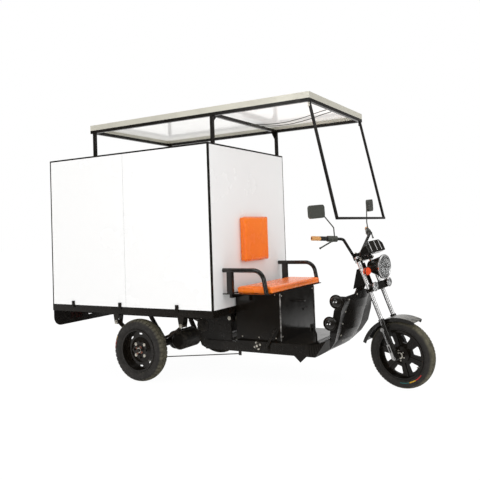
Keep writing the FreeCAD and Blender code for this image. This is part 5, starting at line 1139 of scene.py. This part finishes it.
# %% Buttons on the switch housings
button = lathe([(0, -0.001), (0.0075, -0.001), (0.0075, 0.0015), (0.006, 0.0015), (0.006, 0.0045),
                (0.0045, 0.0058), (0, 0.006)], 20)
buttons = [(-0.25, y, s) for y, s in ((-0.255, 1.178), (0.255, 1.178), (0.272, 1.19))]
fixings("switch_buttons", button, seats("switches", buttons, forward, head), pale_trim_and_glint, "steering")
screws = [(bar_forward, y, above) for y in (-0.278, -0.262, 0.262, 0.278)]
fixings("switch_screws", screw_head(0.0035, 0.002), seats("switches", screws, down, head), zinc, "steering")

# %% Mirror glass
glasses = []
for side in (-1, 1):
    point, outward = touch("mirrors", on_head(-0.2, side * 0.386, 1.404), head_forward)
    glasses.append(facing(point + outward * 0.0004, outward, head_up))
glass = bmesh.new()
bmesh.ops.create_cube(glass, size=1.0)
bmesh.ops.scale(glass, vec=(0.124, 0.080, 0.0016), verts=glass.verts)
through = [e for e in glass.edges if abs(e.verts[0].co.z - e.verts[1].co.z) > 0.001]
bmesh.ops.bevel(glass, geom=through, offset=0.016, segments=6, profile=0.5, affect="EDGES", material=-1)
fixings("mirror_glass", glass, glasses, mirror_glass, "steering")

# %% [markdown]
# The horns are two shiny domes with a rolled edge and two screws in the middle, whose pale colour is
# a painted highlight. The leg shield and the seat box are held by domed screws along their edges. The
# seat box has an edging on its front corners, pale in patches as a painted highlight, and a bent
# handle on its front. The shield is curved, so its screws can't share one direction: each stands
# square to the point that its line meets.

# %% Horns and screws of the shields
horn_glint_screws, horn_rings = [], []
for x, z in ((1.021, 0.660), (0.966, 0.503)):
    horn_glint_screws += seats("horns", [(x + dx, -beside, z) for dx in (-0.009, 0.009)])
    edge = touch("horns", (x + 0.044, -beside, z), (0, 1, 0))[0]
    horn_rings.append(facing((x, edge.y, z), (0, -1, 0)))
# the two pale screws on each horn are a painted highlight
fixings("horn_glint_screws", screw_head(0.0046, 0.003), horn_glint_screws, pale_trim_and_glint)
horn_rim = lathe([(0.043, -0.004), (0.0495, -0.004), (0.051, -0.001), (0.0495, 0.002), (0.046, 0.003),
                  (0.043, 0.0)], 40, True)
fixings("horn_rims", horn_rim, horn_rings, gloss_steel)
shield = [(before, y, z) for y, z in ((0.215, 0.66), (0.215, 0.57), (0.205, 0.48), (0.185, 0.39), (0.120, 0.69),
                                      (0.120, 0.34))]
fixings("shield_screws", screw_head(0.006, 0.004), seats("leg_shield", both_sides(shield), backward), zinc)

# %% The seat box
front_screws = seats("seat_box", both_sides([(before, 0.28, z) for z in (0.37, 0.68)]), backward)
side_screws = seats("seat_box", both_sides([(x, beside, z) for z in (0.36, 0.69) for x in (0.20, 0.35, 0.50)]))
fixings("seat_box_screws", screw_head(0.0055, 0.0035), front_screws + side_screws, zinc)
# the edging's pale patches are a painted highlight
edging = together([rounded_block((0.010, 0.010, 0.362), 0.004, 3)],
                  [Matrix.Translation(corner) for corner in both_sides([(0.542, 0.307, 0.519)])])
piece("seat_box_edging", edging, painted_highlight_edge, "chassis")
handle_width, handle_reach = 0.11, 0.075
feet = [Matrix.Translation((0, y, 0.002 - handle_reach)) for y in (-handle_width / 2, handle_width / 2)]
handle = together([u_bolt(handle_width, handle_reach, 0.0055), together([screw_head(0.009, 0.004)], feet)])
piece("seat_box_handle", handle, gloss_plastic, "chassis",
      seats("seat_box", [(before, 0.0, 0.61)], backward)[0] @ Matrix.Translation((0, 0, 0.058))
      @ Matrix.Rotation(math.pi / 2, 4, "Z") @ Matrix.Scale(0.75, 4))

# %% [markdown]
# Under the bed, bolts hold the drop plates, the spring hangers and the box clamps, and pairs of
# U-bolts clamp the axle to its springs. The drop plates also carry the bearings of the brake linkage:
# a round ribbed cap at the rear and a small flange with four screws in front. The cap's ribs are
# part of the outline that is turned, because only real edges catch the low light there.

# %% Frame bolts
def side_bolts(name, shape, carrier, points, material=zinc):
    """Fixings on both sides of the frame, given as (x, z) on one side."""
    fixings(name, shape, seats(carrier, both_sides([(x, beside, z) for x, z in points])), material)


clamp_x = [0.136 - 1.72 * share for share in (0.196, 0.537, 0.849)]  # shares of the bed's length
side_bolts("plate_bolts", hex_nut(0.018, 0.009, 0.004), "low_frame", [(0.427, 0.278), (-0.170, 0.50), (0.10, 0.50)])
side_bolts("hanger_bolts", hex_nut(0.020, 0.010, 0.005), "spring_hangers", [(-0.279, 0.44), (-0.969, 0.44)])
side_bolts("box_clamp_bolts", hex_nut(0.011, 0.006), "box_clamps", [(x, z) for x in clamp_x for z in (0.587, 0.615)],
           black_steel)
side_bolts("bracket_bolts", hex_nut(0.010, 0.006), "windshield_frame", [(0.939, 2.050), (0.939, 2.066)])

# %% Bearings of the brake linkage
cap = lathe([(0, 0.016), (0.012, 0.016), (0.014, 0.012), (0.020, 0.012), (0.022, 0.018), (0.026, 0.018),
             (0.028, 0.011), (0.034, 0.010), (0.036, 0.014), (0.040, 0.014), (0.042, 0.007), (0.048, 0.006),
             (0.050, -0.001), (0, -0.001)], 36)
side_bolts("bearing_caps", cap, "low_frame", [(-0.152, 0.43)], under_steel)
flange = lathe([(0.010, -0.001), (0.032, -0.001), (0.032, 0.005), (0.018, 0.007), (0.016, 0.014), (0.010, 0.014)],
               32, True)
side_bolts("linkage_flanges", flange, "low_frame", [(0.358, 0.304)], under_steel)
four = [Matrix.Rotation(math.pi / 2 * i + 0.4, 4, "Z") @ Matrix.Translation((0.025, 0, 0.005)) for i in range(4)]
shaft_end = lathe([(0, 0.006), (0.009, 0.006), (0.009, 0.016), (0.006, 0.018), (0, 0.018)], 20)
side_bolts("linkage_nuts", together([together([hex_nut(0.010, 0.006)], four), shaft_end]), "low_frame",
           [(0.358, 0.304)])

# %% U-bolts on the axle
spring_y, bolt_over_spring = 0.44, 0.009
rods = []
for x, y, z in both_sides([(x, spring_y, beside) for x in (-0.639, -0.579)]):
    top = touch("leaf_springs", (x, y, z), down)[0].z
    rods.append(Matrix.Translation((x, y, top + bolt_over_spring)))
fixings("axle_bolts", u_bolt(0.062, 0.125, 0.005), rods, zinc)

# %% [markdown]
# The roof's rim is riveted all round at even steps, so a loop makes its rivets. A bolt holds a post's
# foot on the box rail where there is room beside it. Some of those lines meet the roof's own tubes
# first, and the height of the hit tells them apart.

# %% Rivets round the roof and bolts on its posts
rivet_z, post_y, rail_under_roof, box_rail_top = 2.126, 0.5275, 1.95, 1.885
rivets = seats("roof_edge", both_sides([(-1.10 + 0.2227 * i, beside, rivet_z) for i in range(10)]))
for end in (-1, 1):
    rivets += seats("roof_edge", [(end * 1.4 - 0.1, y, rivet_z) for y in (-0.45, -0.225, 0.0, 0.225, 0.45)],
                    (-end, 0, 0))
fixings("roof_rivets", screw_head(0.004, 0.0018), rivets, cream_alloy)
feet = []
for x in (-1.136, -1.082, 0.104, 0.140):
    for side in (-1, 1):
        found = touch("roof_frame", (x, side * post_y, rail_under_roof), down)
        if found and found[0].z < box_rail_top:
            feet.append(facing(*found))
fixings("post_bolts", hex_nut(0.009, 0.005), feet, zinc)

# %% [markdown]
# The rear doors have rubber strips round their edges, screwed hinges and a riveted latch. A strip is
# let a millimetre into the door's face, which leaves no gap between the two. The brake pedal has a
# ribbed rubber pad over its plate.

# %% Door strips
door_low, door_high, strip = 0.625, 1.836, 0.012
for body, inner, outer in (("door_left", 0.002, 0.589), ("door_right", -0.002, -0.589)):
    y0, y1 = sorted((inner, outer))
    face = touch(body, (behind, (y0 + y1) / 2, 1.6), forward)[0].x
    upright = rounded_block((0.004, strip, door_high - door_low - strip), 0.0015)
    level = rounded_block((0.004, y1 - y0 - 3 * strip, strip), 0.0015)
    sides = [Matrix.Translation((face - 0.001, y, (door_high + door_low) / 2)) for y in (y0 + 0.010, y1 - 0.010)]
    ends = [Matrix.Translation((face - 0.001, (y0 + y1) / 2, z)) for z in (door_low + 0.010, door_high - 0.010)]
    piece(body + "_strips", together([together([upright], sides), together([level], ends)]), matt_plastic, body)
    print(body, "outer face at x", round(face, 4))

# %% Hinges, latch and tail lamps
hinge_low, hinge_high = 0.750, 1.711
hinges = []
for side in (-1, 1):
    for i in range(3):
        middle_z = hinge_low + (hinge_high - hinge_low) * i / 2
        hinges += [(behind, side * y, middle_z + dz) for y in (0.594, 0.601) for dz in (-0.031, 0.031)]
fixings("hinge_screws", screw_head(0.0035, 0.002), seats("door_hinges", hinges, forward), zinc)
latch = [(behind, y, z) for y in (-0.045, -0.110) for z in (1.088, 1.150, 1.212)]
fixings("latch_rivets", screw_head(0.004, 0.003), seats("door_latch", latch, forward), zinc, "door_right")
lamps = [(behind, side * 0.34 + dy, 0.466) for side in (-1, 1) for dy in (-0.06, 0.06)]
fixings("tail_lamp_screws", screw_head(0.004, 0.0022), seats("tail_lamps", lamps, forward), zinc)

# %% The pedal's pad
ribs = [Matrix.Translation((x, 0, 0.0032)) for x in (-0.018, -0.009, 0, 0.009, 0.018)]
pad = together([rounded_block((0.050, 0.053, 0.005), 0.0018),
                together([rounded_block((0.004, 0.048, 0.003), 0.001, 1)], ribs)])
pedal = touch("brake_pedal", (0.55, -0.15, 0.432), forward)
piece("pedal_pad", pad, matt_plastic, "chassis", facing(*pedal, (0, 1, 0)))
print("lines that met nothing", missed)

# %% [markdown]
# At the end the measured frame's box is printed. The looks don't change the size of anything.

# %% The frame's size
print("frame box", [[round(v, 3) for v in corner] for corner in frame_bounds])
